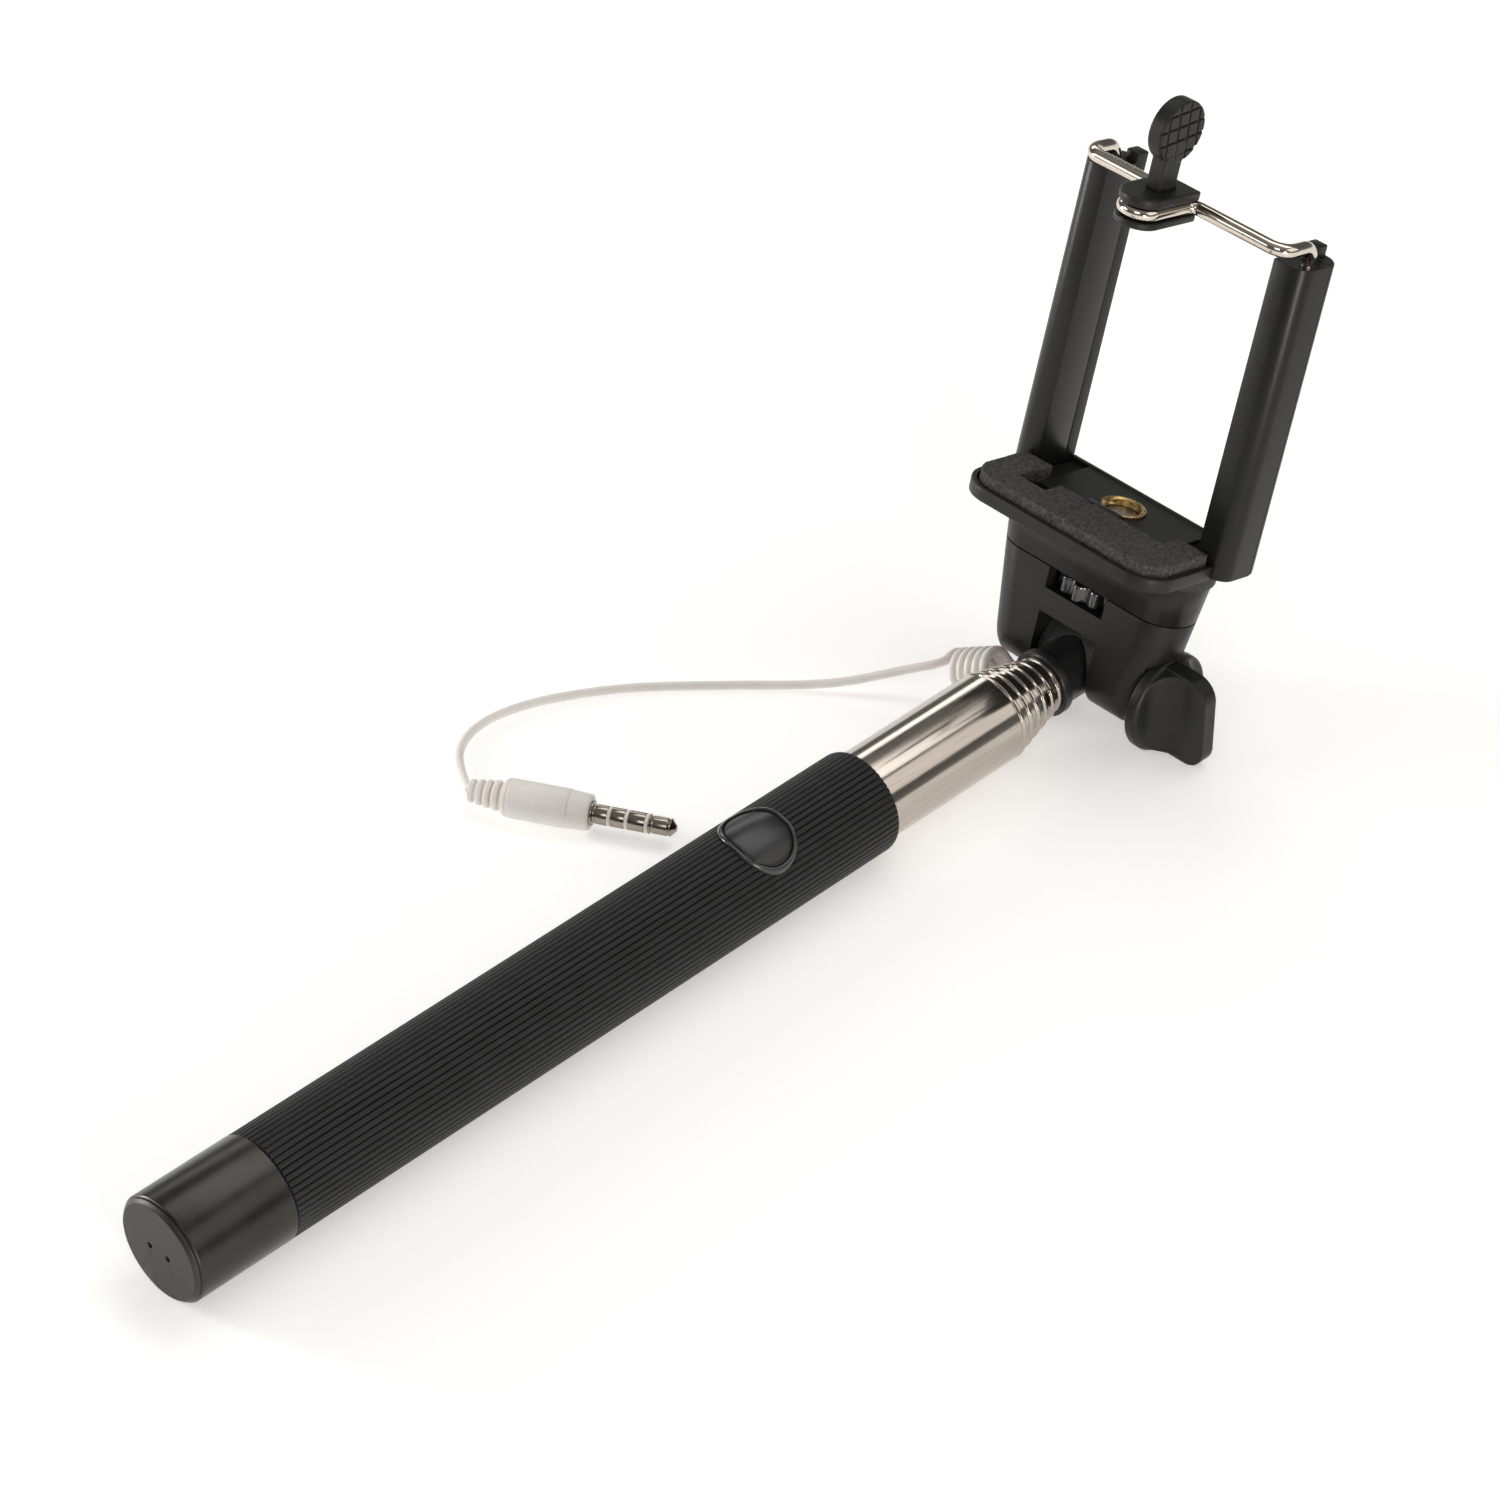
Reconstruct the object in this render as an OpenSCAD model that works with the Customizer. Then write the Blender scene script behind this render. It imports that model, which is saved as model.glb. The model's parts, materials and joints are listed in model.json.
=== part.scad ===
// Wired telescopic selfie stick with a tilting head and a spring phone cradle.
// The stick lies along X with its end cap at low X. The head stands up at high X.

/* [Handle] */
// Radius of the smooth end sleeve, the thickest part of the stick
end_r = 9.55; // [9.4:0.05:10]
// Distance from the end face to the rubber grip
sleeve_end = 20.2; // [16:0.1:26]
// Distance from the end face to the front rim of the rubber grip
grip_end = 153.9; // [145:0.1:165]
// Radius over the rubber grip
grip_r = 9.5; // [9.3:0.05:9.7]
// Spacing of the two pin-spanner holes in the end cap
pin_spacing = 4.3; // [3:0.1:8]
// Distance from the end face to the middle of the shutter button
button_x = 127.5; // [110:0.5:138]
// Angle of the shutter button from the top, towards the knob side
button_angle = 11.5; // [-30:0.5:30]
// Half-length of the button bezel along the handle
bezel_a = 6; // [5.5:0.1:6.5]
// Half-width of the button bezel around the handle
bezel_b = 7; // [6.6:0.1:7.2]
// Radius from the stick's axis to the top of the bezel
bezel_top = 10.07; // [9.9:0.01:10.3]
// Travel of the shutter button
press = 0.3; // [0.2:0.05:0.3]

/* [Telescopic tubes] */
// Outer radius of the fixed outer tube
tube_r = 8.35; // [8.3:0.01:8.36]
// Wall thickness of every tube
tube_wall = 0.4; // [0.35:0.01:0.42]
// Radius step from one inner section to the next
tube_step = 0.6; // [0.58:0.01:0.62]
// Distance from the end face to the front lip of the outer tube
tube_front = 186.3; // [180:0.1:190]
// Length of each inner section that shows when the stick is closed
tube_show = 2.42; // [2:0.01:2.6]
// Distance from the end face to the rear end of the first inner section
section_rear = 26; // [25:0.5:30]
// Length of the rear bush on each inner section
bush_len = 24; // [15:1:30]

/* [Head] */
// Distance from the end face to the tilt pivot
pivot_x = 210.4; // [208:0.1:214]
// Backward lean of the head at rest
lean = 15.5; // [0:0.5:25]
// Width of the knuckle on the neck
knuckle_w = 12.9; // [12:0.1:13]
// Radius of the knuckle
knuckle_r = 6; // [5.5:0.1:6.5]
// Depth of the head housing, front to back
house_depth = 12.6; // [12:0.1:13]
// Half-width of the housing at the height of the pivot
house_half = 18; // [17:0.1:19]
// Outward slope of the housing's two ends
house_flare = 8.3; // [0:0.1:10]
// Height of the seam between the housing and its cap
house_seam = 16.1; // [15.9:0.1:17]
// Height of the top of the cap
cap_top = 24; // [22:0.1:25]
// Radius of the clamp knob's disc
knob_r = 9.28; // [8:0.01:9.5]
// Distance from the middle of the head to the knob's outer edge
knob_out = 28.5; // [26:0.1:32]
// Radius of the thumbwheel that turns the mounting screw
wheel_r = 7.9; // [7.5:0.1:7.9]
// Radius of the 1/4 inch mounting screw
screw_r = 3.05; // [3:0.01:3.06]

/* [Phone cradle] */
// Half-width of the tray
tray_half = 22.6; // [21.5:0.1:23]
// Reach of the tray in front of the head's axis
tray_front = 19.2; // [18:0.1:22]
// Distance of the tray's back edge and the posts' back faces behind the axis
tray_back = 8.1; // [7.8:0.1:9]
// Height of the top of the foam pad
foam_top = 31; // [30:0.1:33]
// Height of the top of the posts
post_top = 85.3; // [70:0.1:95]
// Distance from the middle to the inner face of a post
post_in = 18.6; // [18:0.1:19]
// Distance from the middle to the outer face of a post
post_out = 25; // [24.6:0.1:26]
// Lift of the spring clamp above its rest height
lift = 27; // [10:1:28]

/* [Spring clamp] */
// Radius of the bent steel wire
wire_r = 1.25; // [1:0.05:1.25]
// Distance from the middle to each wire leg
leg_half = 21.9; // [21.7:0.1:22]
// Sideways offset of the jaw from the middle, away from the knob
jaw_shift = 1.15; // [0:0.05:2]
// Half-width of the jaw
jaw_half = 4.15; // [4:0.05:6]
// Reach of the jaw in front of the axis
jaw_front = 19.2; // [16:0.1:22]
// Radius of the round finger tab
tab_r = 5.6; // [4:0.1:8]

/* [Audio cord] */
// Radius of the cord
cord_r = 0.82; // [0.75:0.01:0.85]
// Outer radius of the cord's coil
coil_r = 4.1; // [3.8:0.1:4.1]
// Radius of the plug's body
plug_r = 3.5; // [3:0.1:3.6]
// Radius of the plug's 3.5 mm contact pin
pin_r = 1.75; // [1.7:0.01:1.78]

/* [Hidden] */
$fn = 72;

// Frame: the origin is under the middle of the object, on the surface it lies on.
x_mid = (pivot_x + tray_back * cos(lean) + post_top * sin(lean)) / 2;
y_mid = (post_out - knob_out) / 2;

// Clearances of sliding and turning fits, and of pieces that are just placed
fit = 0.05;
slide_fit = 0.03;
gap = 0.02;

// Handle
cap_thick = 0.8;
cap_spigot = 6;
core_r = 8.87;
core_end = grip_end - 1.8;
tube_rear = 22;
core_stop = 2;
lead_w = 2;
lead_x = 18;
pin_hole_r = 0.55;
bezel_wall = 0.8;
board_top = 8.63;
dome_top = 8.97;
button_low = dome_top + press + 0.03;
button_top = 10.22;

// Inner sections, numbered from the outside in
lip = 1.2;
function section_r(i) = i == 0 ? tube_r : tube_r - tube_step * i;
function section_end(i) = tube_front + tube_show * i;
function section_start(i) = section_rear + tube_show * (i - 1);

// Neck
flange_x = section_end(5) + 0.1;
flange_r = 6.2;
flange_t = 2;
neck_r = 5.4;
spigot_len = 14;
cable_r = 1.2;
bolt_r = 2;

// Head, in its own frame: -X is the front, +Y the side away from the knob, Z up
house_r = house_depth / 2;
house_x = -1.7;
house_low = 0.6;
cheek_gap = 6.6;
slot_roof = 7.6;
window_low = 12.1;
window_half = 6.6;
screw_x = -0.4;
wheel_low = 12.5;
wheel_h = 3.2;
pad_top = 26.5;
pad_grow = 0.5;
nut_y = 13.2;
nut_h = 3.2;
nut_flats = 7;
knob_in = 17;
disc_t = 2.4;
blade_t = 3;
blade_low = -9.4;
blade_high = 8.9;
blade_round = 4;
scoop_r = 5;

// Cradle
tray_low = pad_top + 0.1;
tray_floor = 28;
tray_rim = 29.1;
tray_wall = 1;
tray_round = 6.5;
platform_top = 29;
platform_half = 14.2;
platform_front = 7;
insert_r = 4.2;
insert_top = 29.5;
foam_half = 21.3;
foam_front = 17.8;
foam_inner = 7.3;
foam_arm = 14.5;
post_front = 2.54;
post_low = 26.8;
post_round = 3.2;
lug_width = 2.8;
cover_t = 2.9;
cover_top = post_top + 1.8;
bore_r = 2.2;
bore_low = 28.5;
bore_top = post_top - 3;
leg_back = 2.8;

// Spring clamp
wire_z = post_top + 2.7;
leg_low = bore_low + 1.5;
retainer_h = 2;
bend_r = 2.5;
corner_r = 3;
loop_r = jaw_half - wire_r;
loop_bend = 2;
run_front = 5;
loop_front = jaw_front - jaw_half;
jaw_low = post_top + 0.2;
jaw_plate = 1.2;
jaw_top = 91;
tab_t = 3;
tab_front = 10.2;
tab_height = 101.2;
stem_front = 10.9;
stem_half = 2.4;

// Cord, measured from the middle of the end face of the stick
boot_from = [199.9, 4.6, -1.6];
boot_end = [200.1, 8, -2];
coil_near = [197.9, 8.75, -1.1];
coil_far = [195.6, 17.9, -5.55];
coil_entry = [200.9, 10.4, -1.3];
boot_r = 1.6;
boot_tip = 1.1;
boot_stem = 1.05;
coil_hole = coil_r - 2 * cord_r - 0.1;
boot_root = boot_from - (boot_end - boot_from) * boot_from.y / (boot_end.y - boot_from.y);
cord_z = cord_r - end_r;
plug_at = [113, 54, plug_r - end_r];
plug_turn = -60.5;
route = [
    [195.5, 18.5, -2.2], [193.7, 18.3, -2.3], [191.9, 19.2, -2.7], [190.1, 21.2, -3.5],
    [187.9, 23.8, -4.6], [185.0, 26.8, -5.8], [181.5, 30.3, -7.0], [178.0, 34.3, -8.0],
    [174.2, 38.9, cord_z], [168.8, 44.2, cord_z], [163.0, 49.7, cord_z],
    [157.4, 54.8, cord_z], [151.8, 59.2, cord_z], [146.0, 62.9, cord_z],
    [140.2, 65.9, cord_z], [134.5, 67.8, cord_z], [129.0, 68.4, cord_z],
    [124.4, 67.5, cord_z], [121.0, 65.5, cord_z], [118.6, 62.9, -8.6],
    [116.9, 60.4, -8.2], [115.4, 58.1, -7.5], [114.0, 55.9, -6.8], [113, 54, -6.05]
];
ring_steps = 2;
ring_sides = 8;

// --- Placing ---------------------------------------------------------------

module on_pole() {
    translate([-x_mid, -y_mid, end_r]) children();
}

module at_pivot() {
    on_pole() translate([pivot_x, 0, 0]) children();
}

module at_head() {
    at_pivot() rotate([0, lean, 0]) children();
}

module at_button() {
    on_pole() translate([button_x, 0, 0]) rotate([button_angle, 0, 0]) children();
}

module at_plug() {
    on_pole() translate(plug_at) rotate([0, 90, plug_turn]) children();
}

// Turns the children's Z axis from point p towards point q
module aimed(p, q) {
    v = q - p;
    translate(p) rotate([0, acos(v.z / norm(v)), atan2(v.y, v.x)]) children();
}

// A rod along the stick from x0 to x1
module rod(x0, x1, r) {
    translate([x0, 0, 0]) rotate([0, 90, 0]) cylinder(r = r, h = x1 - x0);
}

// A solid turned about the stick's axis, from [radius, x] points
module turned(points) {
    rotate([0, 90, 0]) rotate_extrude() polygon(points);
}

module pipe(x0, x1, r_out, r_in) {
    turned([[r_in, x0], [r_out, x0], [r_out, x1], [r_in, x1]]);
}

// A rod across the head, from y0 to y1
module cross_rod(y0, y1, r, sides = 72) {
    translate([0, y1, 0]) rotate([90, 0, 0]) cylinder(r = r, h = y1 - y0, $fn = sides);
}

// A flat outline in the XY plane with two round ends
module oval(a, b) {
    for (s = [-1, 1]) translate([0, s * (b - a)]) circle(a);
    square([2 * a, 2 * (b - a)], center = true);
}

// A plate outline whose two corners at low X are round
module front_rounded(x0, x1, half, r) {
    translate([x0 + r, -half]) square([x1 - x0 - r, 2 * half]);
    translate([x0, r - half]) square([r, 2 * (half - r)]);
    for (s = [-1, 1]) translate([x0 + r, s * (half - r)]) circle(r);
}

// --- Handle ----------------------------------------------------------------

module end_cap() {
    color("dimgray") on_pole() difference() {
        turned([[0, 0], [end_r - 0.95, 0], [end_r - 0.35, cap_thick - 0.2],
            [end_r - 0.35, cap_thick], [core_r - gap, cap_thick],
            [core_r - gap, cap_spigot], [core_r - 1.4, cap_spigot],
            [core_r - 1.4, 2], [0, 2]]);
        for (s = [-1, 1]) translate([0, s * pin_spacing / 2, 0]) rod(-1, 1.4, pin_hole_r);
    }
}

module end_sleeve() {
    color("gray") on_pole() turned([[core_r + gap, cap_thick + gap],
        [end_r - 0.3, cap_thick + gap], [end_r, cap_thick + 0.3],
        [end_r, sleeve_end - 0.2], [end_r - 0.2, sleeve_end], [core_r + gap, sleeve_end]]);
}

module handle_core() {
    color("dimgray") difference() {
        on_pole() turned([[core_r, cap_spigot + 0.1], [core_r, core_end],
            [tube_r + fit, core_end], [tube_r + fit, tube_rear], [cap_spigot, tube_rear],
            [cap_spigot, tube_rear - core_stop], [core_r - 1.4, tube_rear - core_stop],
            [core_r - 1.4, cap_spigot + 0.1]]);
        at_button() linear_extrude(end_r) oval(bezel_a - bezel_wall, bezel_b - bezel_wall);
        lead_channel(lead_w / 2 + 0.1, lead_x - 0.3, 0);
    }
}

// The straight passage of the lead from the button back to the end of the tube
module lead_channel(half, x0, overlap) {
    on_pole() rotate([button_angle, 0, 0]) translate([x0, -half, 0])
        cube([button_x - bezel_a + bezel_wall - x0 + overlap, 2 * half, end_r]);
}

module grip_sleeve() {
    color("#2b2b2e") difference() {
        on_pole() turned([[core_r + gap, sleeve_end + gap], [grip_r, sleeve_end + gap],
            [grip_r, grip_end - 0.6], [grip_r - 0.25, grip_end - 0.15],
            [grip_r - 0.6, grip_end], [tube_r + fit, grip_end],
            [tube_r + fit, core_end + gap], [core_r + gap, core_end + gap]]);
        at_button() linear_extrude(end_r + 1) oval(bezel_a + gap, bezel_b + gap);
    }
}

module outer_tube() {
    color("#b9b4aa") on_pole() telescope_tube(0, tube_rear + gap);
}

// A tube with a rolled inward lip at its front, which guides the next section
module telescope_tube(i, x0) {
    r = section_r(i);
    x1 = section_end(i);
    r_lip = section_r(i + 1) + slide_fit;
    turned([[r - tube_wall, x0], [r, x0], [r, x1 - 0.4], [r - 0.12, x1 - 0.12],
        [r - 0.4, x1], [r_lip, x1], [r_lip, x1 - lip], [r - tube_wall, x1 - lip]]);
}

// What lies between two radii around the stick, near the button
module shell(r_out, r_in) {
    difference() {
        rotate([0, 90, 0]) cylinder(r = r_out, h = 40, center = true);
        rotate([0, 90, 0]) cylinder(r = r_in, h = 42, center = true);
    }
}

module button_bezel() {
    color("#4a4a4c") at_button() intersection() {
        linear_extrude(12) difference() {
            oval(bezel_a, bezel_b);
            oval(bezel_a - bezel_wall, bezel_b - bezel_wall);
        }
        shell(bezel_top, core_r + gap);
    }
}

module switch_board() {
    color("darkgreen") at_button() intersection() {
        linear_extrude(12) oval(bezel_a - 1.2, bezel_b - 1.2);
        shell(board_top, tube_r + fit);
    }
}

module dome_switch() {
    color("silver") at_button() intersection() {
        cylinder(r = 2.8, h = 12);
        shell(dome_top, board_top + gap);
    }
}

module handle_lead() {
    lead_mid = (core_r + tube_r) / 2;
    lead_t = 0.3;
    color("white") {
        intersection() {
            lead_channel(lead_w / 2, lead_x, -0.2);
            on_pole() translate([button_x, 0, 0]) rotate([0, 90, 0]) difference() {
                cylinder(r = lead_mid + lead_t / 2, h = 400, center = true);
                cylinder(r = lead_mid - lead_t / 2, h = 402, center = true);
            }
        }
        on_pole() rotate([button_angle, 0, 0]) translate([lead_x, -lead_w / 2, 0])
            cube([1.4, lead_w, lead_mid]);
        on_pole() rod(lead_x, section_rear - 0.5, 1.6);
    }
}

module shutter_button() {
    color("#3c3c3e") at_button() intersection() {
        linear_extrude(12) oval(bezel_a - bezel_wall - 0.1, bezel_b - bezel_wall - 0.1);
        shell(button_top, button_low);
    }
}

// --- Inner sections --------------------------------------------------------

module tube_section(i) {
    color("#c2bdb3") on_pole() telescope_tube(i, section_start(i));
}

// The innermost section has no lip, because the neck plugs into it
module tube_section_last() {
    r = section_r(5);
    x1 = section_end(5);
    color("#c2bdb3") on_pole() turned([[r - tube_wall, section_start(5)],
        [r, section_start(5)], [r, x1 - 0.3], [r - 0.3, x1], [r - tube_wall, x1]]);
}

module rear_bush(i) {
    bore = section_r(i - 1) - tube_wall;
    color("ivory") on_pole() pipe(section_start(i), section_start(i) + bush_len,
        bore - slide_fit, section_r(i) + 0.01);
}

// --- Neck and cord ---------------------------------------------------------

module neck() {
    color("#333333") difference() {
        union() {
            on_pole() turned([[0, flange_x - spigot_len],
                [section_r(5) - tube_wall - gap, flange_x - spigot_len],
                [section_r(5) - tube_wall - gap, flange_x], [flange_r, flange_x],
                [flange_r, flange_x + flange_t - 0.5], [flange_r - 0.5, flange_x + flange_t],
                [neck_r, flange_x + flange_t], [neck_r, pivot_x], [0, pivot_x]]);
            at_pivot() cross_rod(-knuckle_w / 2, knuckle_w / 2, knuckle_r);
        }
        at_pivot() cross_rod(-10, 10, bolt_r + fit);
        on_pole() rod(flange_x - spigot_len - 1, boot_from.x, cable_r);
        on_pole() aimed(boot_root, boot_end) cylinder(r = boot_stem + gap, h = 20);
    }
}

module inner_coil() {
    color("white") on_pole() {
        rod(section_rear, flange_x - spigot_len - 1, 3.4);
        rod(flange_x - spigot_len - 2, boot_from.x - 2, cable_r - 0.1);
    }
}

module cord_boot() {
    boot_len = norm(boot_end - boot_from);
    color("#e9dfd4") on_pole() {
        difference() {
            aimed(boot_from, boot_end) rotate_extrude()
                polygon([[0, 0], [boot_r, 0], [boot_r, boot_len * 0.6], [boot_tip, boot_len],
                    [0, boot_len]]);
            rod(flange_x - 20, flange_x + flange_t, flange_r);
            rod(flange_x, pivot_x, neck_r);
        }
        aimed(boot_root, boot_end) translate([0, 0, boot_stem]) cylinder(r = boot_stem, h = 5.5);
        aimed(boot_end, coil_entry) translate([0, 0, -cord_r])
            cylinder(r = cord_r, h = norm(coil_entry - boot_end) + cord_r);
    }
}

module cord_coil() {
    color("white") on_pole() aimed(coil_near, coil_far) rotate_extrude()
        translate([coil_hole, 0]) square([coil_r - coil_hole, norm(coil_far - coil_near)]);
}

// A point between p1 and p2 on the smooth curve through the route
function curve_point(p0, p1, p2, p3, t) =
    (2 * p1 + (p2 - p0) * t + (2 * p0 - 5 * p1 + 4 * p2 - p3) * t * t
    + (3 * p1 - p0 - 3 * p2 + p3) * t * t * t) / 2;

function smooth(p) = let (last = len(p) - 1) [
    for (i = [0:last - 1]) for (k = [0:ring_steps - 1])
        curve_point(p[max(i - 1, 0)], p[i], p[i + 1], p[min(i + 2, last)], k / ring_steps),
    p[last]
];

// The ring of points around centre line point i
function ring(c, i) =
    let (last = len(c) - 1,
        ahead = c[min(i + 1, last)] - c[max(i - 1, 0)],
        tangent = ahead / norm(ahead),
        flat = cross(tangent, [0, 0, 1]),
        side = flat / norm(flat),
        up = cross(side, tangent))
    [for (k = [0:ring_sides - 1]) let (a = 360 * k / ring_sides)
        c[i] + cord_r * (cos(a) * side + sin(a) * up)];

module cord_lead() {
    line = smooth(route);
    n = len(line);
    points = [for (i = [0:n - 1]) each ring(line, i)];
    walls = [for (i = [0:n - 2]) for (k = [0:ring_sides - 1])
        let (a = i * ring_sides + k, b = i * ring_sides + (k + 1) % ring_sides)
        [a, b, b + ring_sides, a + ring_sides]];
    first = [for (k = [ring_sides - 1:-1:0]) k];
    end = [for (k = [0:ring_sides - 1]) (n - 1) * ring_sides + k];
    color("white") on_pole() polyhedron(points, concat([first], walls, [end]));
}

module plug_boot() {
    ribs = 4;
    pitch = 1.5;
    color("white") at_plug() {
        cylinder(r = 1.35, h = 6.2);
        for (i = [0:ribs - 1]) translate([0, 0, pitch * i + 0.3])
            cylinder(r = 2.2 + 0.08 * i, h = pitch - 0.6);
    }
}

module plug_body() {
    collar_r = plug_r - 0.35;
    color("white") at_plug() rotate_extrude() polygon([
        [0, 6.2], [2.6, 6.2], [plug_r - 0.25, 6.8], [plug_r, 7.6], [plug_r, 18],
        [plug_r - 0.3, 18.3], [collar_r, 18.3], [collar_r, 21.6], [collar_r - 0.4, 22], [0, 22]]);
}

module plug_contacts() {
    color("lightgray") at_plug() rotate_extrude() polygon([
        [0, 22], [pin_r, 22], [pin_r, 25], [0.9, 25], [0.9, 25.6], [pin_r, 25.6],
        [pin_r, 28.1], [0.9, 28.1], [0.9, 28.7], [pin_r, 28.7], [pin_r, 31.7],
        [0.9, 31.7], [0.9, 32.3], [pin_r, 32.3], [pin_r, 32.5], [1.5, 32.8],
        [1.6, 35.7], [1.45, 35.9], [pin_r - 0.05, 36.2], [0.6, 37.2], [0, 37.2]]);
}

module plug_insulators() {
    color("white") at_plug() for (z = [25, 28.1, 31.7])
        translate([0, 0, z]) rotate_extrude() translate([0.9, 0]) square([pin_r - 0.9, 0.6]);
}

// --- Tilting head ----------------------------------------------------------

// The housing's shape between two heights: a flared block with round ends
module house_form(z0, z1) {
    end_r_flat = house_r / cos(house_flare);
    function edge(z) = house_half - end_r_flat + z * tan(house_flare);
    translate([house_x, 0, 0]) intersection() {
        union() {
            rotate([90, 0, 90]) linear_extrude(2 * house_r, center = true)
                polygon([[-edge(z0), z0], [edge(z0), z0], [edge(z1), z1], [-edge(z1), z1]]);
            for (s = [-1, 1]) translate([0, s * edge(0), 0]) rotate([-s * house_flare, 0, 0])
                translate([0, 0, -15]) cylinder(r = house_r, h = 50);
        }
        translate([-20, -40, z0]) cube([40, 80, z1 - z0]);
    }
}

// The housing seen from the front: its lower corners are round
module house_front() {
    bottom = house_low - house_r;
    top = 60;
    middle_y = house_half + house_low * tan(house_flare) - house_r / cos(house_flare);
    side = [middle_y + house_r * cos(house_flare), house_low - house_r * sin(house_flare)];
    half_top = house_half + top * tan(house_flare);
    polygon([[-middle_y, bottom], [middle_y, bottom], side, [half_top, top], [-half_top, top],
        [-side.x, side.y]]);
    for (s = [-1, 1]) translate([s * middle_y, house_low]) circle(house_r);
}

module housing_lower() {
    color("#3d3d3d") at_head() difference() {
        intersection() {
            house_form(house_low - house_r - 1, house_seam);
            rotate([90, 0, 0]) linear_extrude(80, center = true) {
                translate([house_x, house_low]) circle(house_r);
                translate([house_x - house_r - 1, house_low]) square([house_depth + 2, 40]);
            }
            rotate([90, 0, 90]) linear_extrude(40, center = true) house_front();
        }
        translate([-20, -cheek_gap, -20]) cube([40, 2 * cheek_gap, 20 + slot_roof]);
        cross_rod(-30, 30, bolt_r + fit);
        cross_rod(-30, -knob_in + 0.1, knob_r + 0.3);
        cross_rod(nut_y, 30, nut_flats / 2 / cos(30) + fit, 6);
        translate([-20, -window_half, window_low]) cube([40, 2 * window_half, 20]);
        translate([screw_x, 0, window_low]) cylinder(r = wheel_r + 0.3, h = 20);
        translate([screw_x, 0, window_low - 2.5]) cylinder(r = bolt_r + fit, h = 10);
    }
}

module housing_cap() {
    color("#3d3d3d") at_head() difference() {
        house_form(house_seam, cap_top);
        translate([screw_x, 0, 0]) cylinder(r = screw_r + 0.2, h = 40);
    }
}

module top_pad() {
    half = house_half + cap_top * tan(house_flare) + pad_grow;
    color("#232323") at_head() translate([0, 0, cap_top]) linear_extrude(pad_top - cap_top)
        difference() {
            translate([house_x, 0]) oval(house_r + pad_grow, half);
            translate([screw_x, 0]) circle(screw_r + 0.3);
        }
}

module clamp_nut() {
    color("silver") at_head() difference() {
        cross_rod(nut_y, nut_y + nut_h, nut_flats / 2 / cos(30), 6);
        cross_rod(nut_y - 1, nut_y + nut_h + 1, bolt_r + fit);
    }
}

module clamp_knob() {
    root = knob_in + disc_t;
    color("#2e2e30") at_pivot() difference() {
        union() {
            rotate([90, 0, 0]) rotate_extrude() polygon([[0, knob_in], [knob_r - 0.3, knob_in],
                [knob_r, knob_in + 0.3], [knob_r, root - 0.5], [knob_r - 0.5, root], [0, root]]);
            knob_blade(root);
            intersection() {
                scooped_web(root);
                cross_rod(-root - scoop_r, -root, knob_r - 0.5);
            }
        }
        cross_rod(-root, -knob_in + 1, bolt_r);
    }
}

module knob_blade(root) {
    rotate([90, 0, 90]) linear_extrude(blade_t, center = true) {
        translate([-knob_out + blade_round, blade_low])
            square([knob_out - root - blade_round + 0.5, blade_high - blade_low]);
        translate([-knob_out, blade_low + blade_round])
            square([blade_round, blade_high - blade_low - 2 * blade_round]);
        for (z = [blade_low + blade_round, blade_high - blade_round])
            translate([-knob_out + blade_round, z]) circle(blade_round);
    }
}

// The web that fills the corner between the blade and the disc, with finger scoops
module scooped_web(root) {
    side = blade_t / 2 + scoop_r;
    linear_extrude(2 * knob_r, center = true) difference() {
        translate([-side, -root - scoop_r]) square([2 * side, scoop_r + 0.5]);
        for (s = [-1, 1]) translate([s * side, -root - scoop_r]) circle(scoop_r);
    }
}

module clamp_bolt() {
    color("silver") at_pivot() cross_rod(-knob_in - disc_t + 0.4, nut_y + nut_h - 0.4, bolt_r);
}

module thumbwheel() {
    flutes = 14;
    color("#1c1c1e") at_head() translate([screw_x, 0, wheel_low]) difference() {
        cylinder(r = wheel_r, h = wheel_h);
        translate([0, 0, -1]) cylinder(r = screw_r, h = wheel_h + 2);
        for (i = [0:flutes - 1]) rotate([0, 0, 360 * i / flutes])
            translate([wheel_r + 0.7, 0, -1]) cylinder(r = 1.5, h = wheel_h + 2);
    }
}

module mount_screw() {
    color("silver") at_head() translate([screw_x, 0, 0]) {
        translate([0, 0, window_low - 2.2]) cylinder(r = bolt_r, h = 3);
        translate([0, 0, wheel_low]) cylinder(r = screw_r, h = tray_rim - 1 - wheel_low);
    }
}

// --- Phone cradle ----------------------------------------------------------

module tray() {
    color("#2f2f31") at_head() difference() {
        union() {
            translate([0, 0, tray_low]) linear_extrude(tray_floor - tray_low) tray_plan(0);
            translate([0, 0, tray_floor - 0.5]) linear_extrude(tray_rim - tray_floor + 0.5)
                difference() {
                    tray_plan(0);
                    tray_plan(tray_wall);
                }
            translate([-platform_front, -platform_half, tray_floor - 0.5])
                cube([platform_front + tray_back, 2 * platform_half, platform_top - tray_floor + 0.5]);
            translate([-platform_front, -4, tray_floor]) cube([1.6, 7.5, 2.6]);
        }
        for (s = [-1, 1]) translate([-post_front - gap, s * (post_in + 10) - 10 - gap, 0])
            cube([20, 20 + 2 * gap, 40]);
        translate([screw_x, 0, 0]) cylinder(r = insert_r + gap, h = 40);
    }
}

module tray_plan(inset) {
    front_rounded(inset - tray_front, tray_back - inset, tray_half - inset, tray_round - inset);
}

module brass_insert() {
    color("goldenrod") at_head() translate([screw_x, 0, tray_low]) difference() {
        cylinder(r = insert_r, h = insert_top - tray_low);
        translate([0, 0, -1]) cylinder(r = screw_r + 0.07, h = 10);
    }
}

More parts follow.
